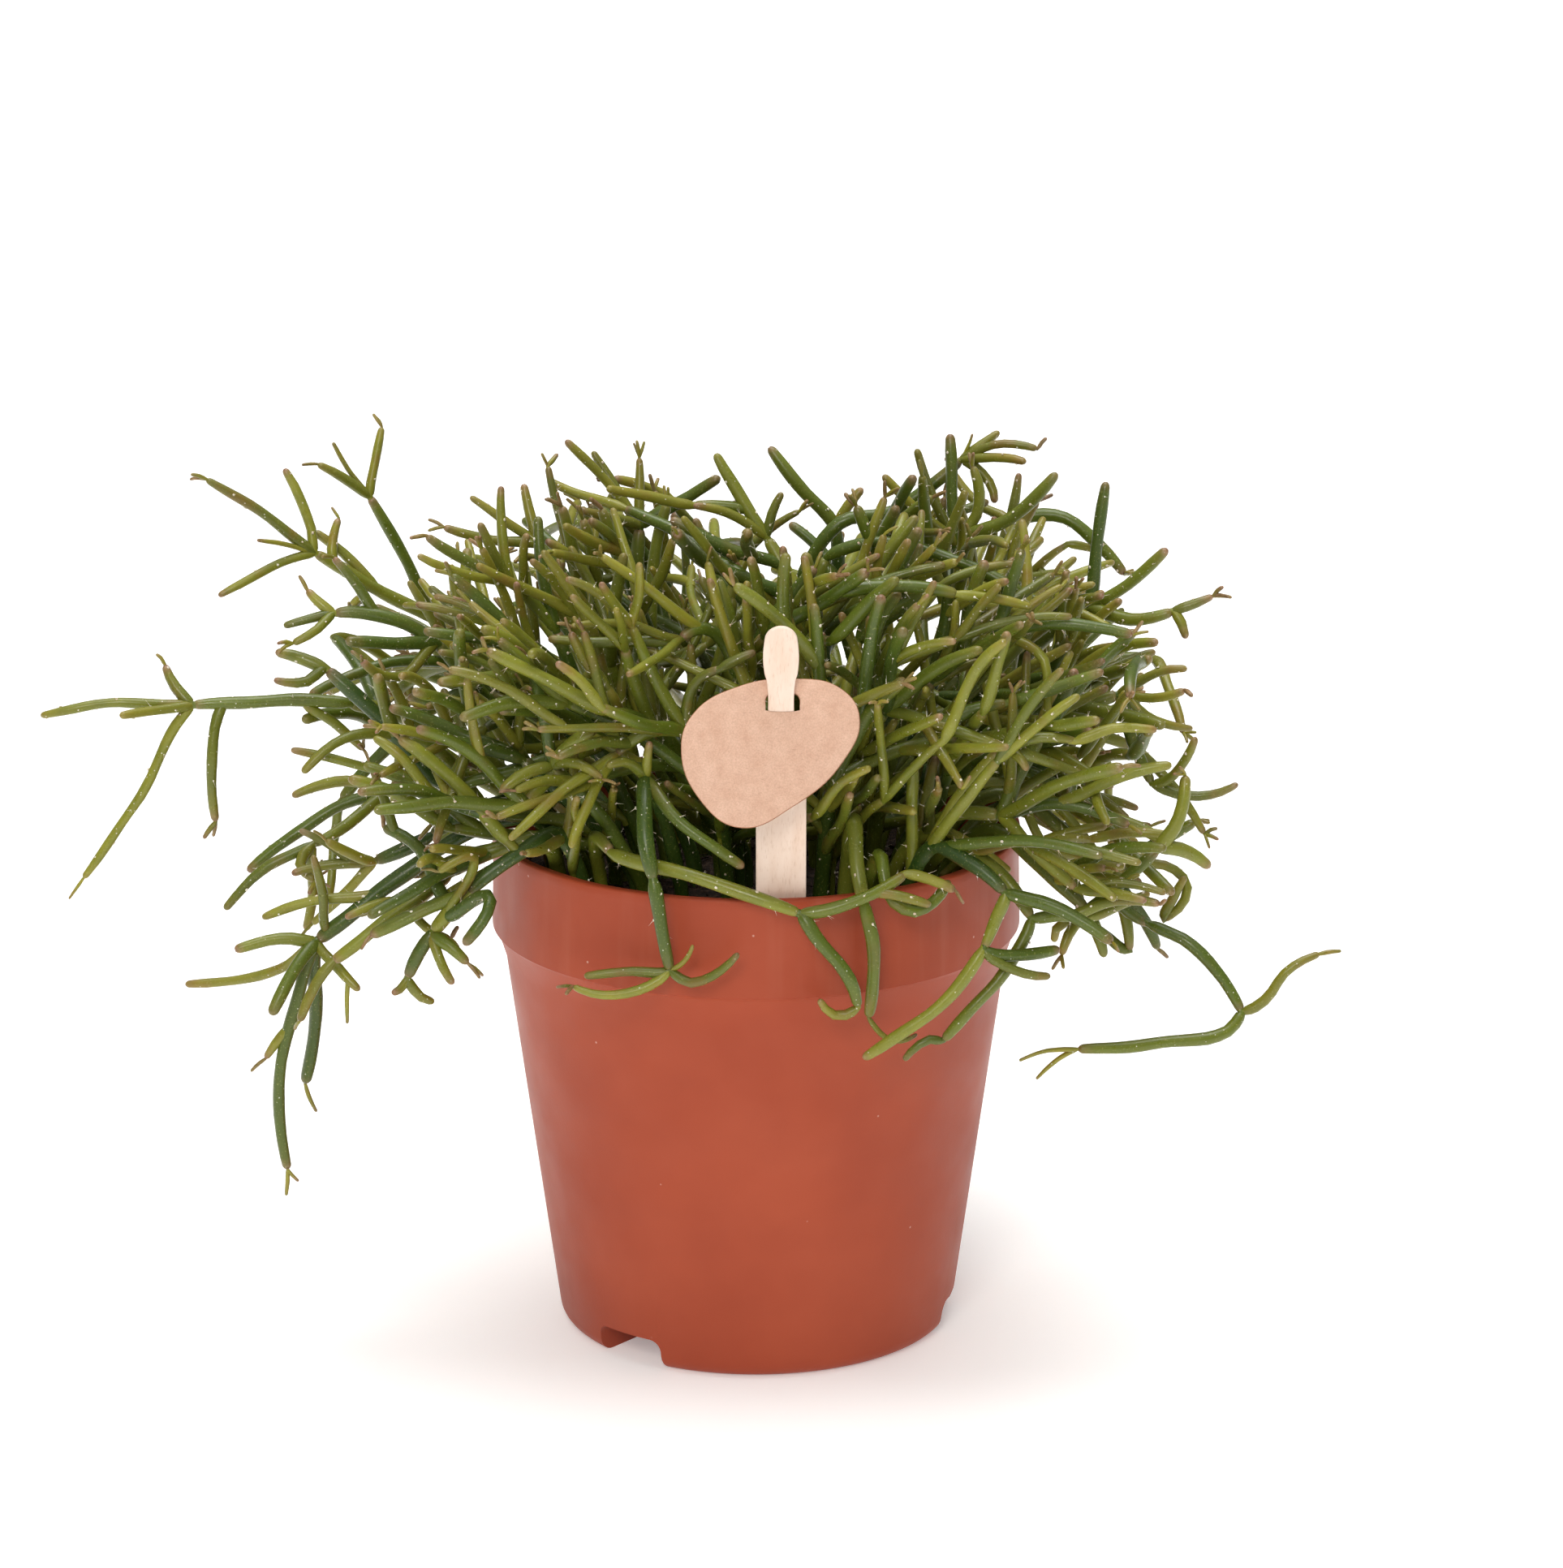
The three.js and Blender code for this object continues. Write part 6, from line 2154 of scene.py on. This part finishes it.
    def fork(self, spray: Spray, number: int, random: Draws) -> None:
        """Forks one shoot's end into a whorl, and its sides where it is long.

        Args:
            spray: Its spray.
            number: Its place in the spray.
            random: Its generator.
        """
        age = spray.shoots[number].age
        either = MID if random.pick(self.mid_share) else YOUNG
        next_age = {OLD: MID, MID: either, YOUNG: YOUNG}[age]
        there = sum(1 for s in spray.shoots if s and s.parent == number + 1)
        for _fork in range(round(random.between(*self.ends[RANKS[age]])) - there):
            self.sprout(spray, number + 1, next_age, self.end_spread, random)
        for _side in range(round(random.between(*self.sides[RANKS[age]]))):
            side = number + round(random.between(*self.side_starts), 3)
            either = MID if random.pick(self.mid_share) else YOUNG
            self.sprout(spray, side, either, self.side_spread, random)

    def bud(self, spray: Spray, number: int, random: Draws) -> None:
        """Adds a tuft of thin brownish twigs to a shoot, if its end is free and it is picked.

        Args:
            spray: Its spray.
            number: Its place in the spray.
            random: Its generator.
        """
        shoot, end = spray.shoots[number], number + 1
        forked = any(s and s.parent == end for s in spray.shoots)
        if not shoot or shoot.age is THIN or forked or not random.pick(self.bud_share):
            return
        for _bud in range(round(random.between(*self.buds))):
            grown = self.sprout(spray, end, THIN, self.bud_spread, random)
            if grown and random.pick(self.dry_share):
                spray.shoots[-1].dry = random.between(*self.dryness)

    def join(self, age: Age, start: Pair, end: Pair) -> None:
        """Grows a twig between two places of the elevation, out of the stem that passes nearest.

        Args:
            age: Its age.
            start: The x and h that it starts from.
            end: The x and h of its tip.
        """
        found: list[tuple[float, str, int, float]] = []
        for name, spray in self.growth.sprays.items():
            for number, shoot in enumerate(spray.shoots):
                if shoot and shoot.age is not THIN:
                    apart = np.linalg.norm(elevation(shoot.samples) - np.array(start), axis=1)
                    share = max(self.join_start, int(apart.argmin()) / (len(apart) - 1))
                    found.append((float(apart.min()), name, number, round(share, 3)))
        for apart, name, number, share in sorted(found)[: self.join_tries]:
            spray = self.growth.sprays[name]
            at, _way = spray.start_of(number + share)
            far = place([*end, at[1]], 0.0)
            bow = self.join_bow * np.linalg.norm(far - at) * UP
            route = [(at + far) / 2 + bow, far]
            shoot = self.growth.try_shoot(spray, number + share, age, route, self.gap)
            if shoot and apart < self.join_reach:
                self.growth.keep(spray, shoot)
                return

    def build(self) -> None:
        """Adds the twigs that are seen, generations that fill the plant, and buds."""
        for age, start, end in SEEN_TWIGS:
            self.join(age, start, end)
        random = Draws(self.seed)
        done = {name: 0 for name in self.growth.sprays if name not in self.few}
        for _generation in range(self.generations):
            for name, first in done.items():
                spray = self.growth.sprays[name]
                done[name] = len(spray.shoots)
                for number, shoot in enumerate(spray.shoots[first:], first):
                    if shoot and shoot.age is not THIN:
                        self.fork(spray, number, random)
        for spray in self.growth.sprays.values():
            for number in range(len(spray.shoots)):
                self.bud(spray, number, random)


@dataclass(frozen=True)
class Cactus:
    """The whole plant: the sprays of the solids, made fine, with the twigs that fill them."""

    seed: int = 5000
    sharp: float = 70.0
    thickness: tuple[Pair, ...] = ((0.92, 1.08), (0.94, 1.12), (0.95, 1.2), (0.8, 1.3))

    def build(self, skin: Finish, wool: Finish) -> None:
        """Grows the plant and makes a piece of each spray.

        Args:
            skin: The stems' finish.
            wool: The areoles' finish.
        """
        growth = Growth()
        for name, rows in SPRAYS.items():
            growth.laid_spray(name, rows)
        for prefix, rule in GROWN_SPRAYS.items():
            growth.grow(prefix, rule, Dome())
        Twigs(growth).build()
        for number, (name, spray) in enumerate(growth.sprays.items()):
            random = Draws(self.seed + number)
            skinner = StemSkinner()
            for shoot in spray.shoots:
                if shoot:
                    shoot.thick = random.between(*self.thickness[RANKS[shoot.age]])
                    skinner.add(shoot, random)
            mesh = mesh_of(skinner.total, f"stems_{name}", self.sharp)
            finish_piece(f"stems_{name}", mesh, [skin, wool], [f"spray_{name}"])
        count = sum(1 for spray in growth.sprays.values() for shoot in spray.shoots if shoot)
        LOG.info("%d shoots in %d sprays", count, len(growth.sprays))


@dataclass(frozen=True)
class Lamp:
    """A square soft light: its place and side in millimetres, its power and its tint."""

    name: str
    at: tuple[float, float, float]
    side: float
    watts: float
    tint: str = "ffffff"


@dataclass(frozen=True)
class Studio:
    """A pale floor, soft lights and the camera."""

    distance: float = 1400.0
    elevation: float = math.radians(16.4)
    target: tuple[float, float, float] = (5.8, 0.0, 126.9)
    focal_pixels: float = 7593.0
    long_side: int = 1932
    sensor: float = 36.0
    floor_reach: float = 6000.0
    sky: float = 0.22
    lamps: tuple[Lamp, ...] = (
        Lamp("ceiling", (0, 0, 5000), 12000, 150),
        Lamp("overhead", (0, 300, 3000), 2200, 82),
        Lamp("key", (-450, -2650, 1700), 1000, 38, "fffaf4"),
        Lamp("left", (-2400, -700, 1100), 1500, 1, "f6f9ff"),
        Lamp("right", (2400, -700, 1100), 1500, 1, "f6f9ff"),
    )

    def floor(self) -> None:
        """Lays the pale floor that the pot stands on."""
        bm = bmesh.new()
        bmesh.ops.create_grid(bm, x_segments=1, y_segments=1, size=self.floor_reach)
        floor = linked("floor", mesh_of(bm, "floor"))
        floor.data.materials.append(LitPaper().material)

    @staticmethod
    def hang(lamp: Lamp) -> None:
        """Hangs a lamp so that it faces the plant.

        Args:
            lamp: The lamp.
        """
        light = bpy.data.lights.new(lamp.name, "AREA")
        light.size = lamp.side * MM
        light.energy = lamp.watts
        light.color = linear(lamp.tint)[:3]
        holder = linked(lamp.name, light)
        holder.location = Vector(lamp.at) * MM
        facing = (Vector((0, 0, 120)) - Vector(lamp.at)).normalized()
        holder.rotation_euler = facing.to_track_quat("-Z", "Y").to_euler()

    def lights(self) -> None:
        """Lights the plant softly from above and before, with a fill at each side."""
        world = bpy.data.worlds.new("studio")
        world.use_nodes = True
        back = next(n for n in world.node_tree.nodes if n.type == "BACKGROUND")
        back.inputs["Color"].default_value = linear("ffffff")
        back.inputs["Strength"].default_value = self.sky
        bpy.context.scene.world = world
        for lamp in self.lamps:
            self.hang(lamp)

    def camera(self) -> None:
        """Sets the camera before the plant, a little above it."""
        data = bpy.data.cameras.new("camera")
        data.sensor_width = self.sensor
        data.lens = self.focal_pixels * self.sensor / self.long_side
        data.clip_start, data.clip_end = 0.05, 50.0
        camera = linked("camera", data)
        x, y, z = self.target
        back = self.distance * math.cos(self.elevation)
        up = self.distance * math.sin(self.elevation)
        camera.location = Vector((x, y - back, z + up)) * MM
        camera.rotation_euler = (math.pi / 2 - self.elevation, 0, 0)
        bpy.context.scene.camera = camera

    def build(self) -> None:
        """Makes the floor, the lights and the camera."""
        self.floor()
        self.lights()
        self.camera()
        bpy.context.scene.view_settings.view_transform = "Standard"


def main() -> None:
    """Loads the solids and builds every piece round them."""
    logging.basicConfig(level=logging.INFO, format="%(message)s")
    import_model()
    NurseryPot().build(MouldedPolypropylene())
    PottingMix().build(MoistPeat())
    PlantLabel().build(SandedBirch(), KraftBoard(), KraftEdge())
    Cactus().build(StemSkin(), AreoleWool())
    Studio().build()


if __name__ == "__main__":
    main()
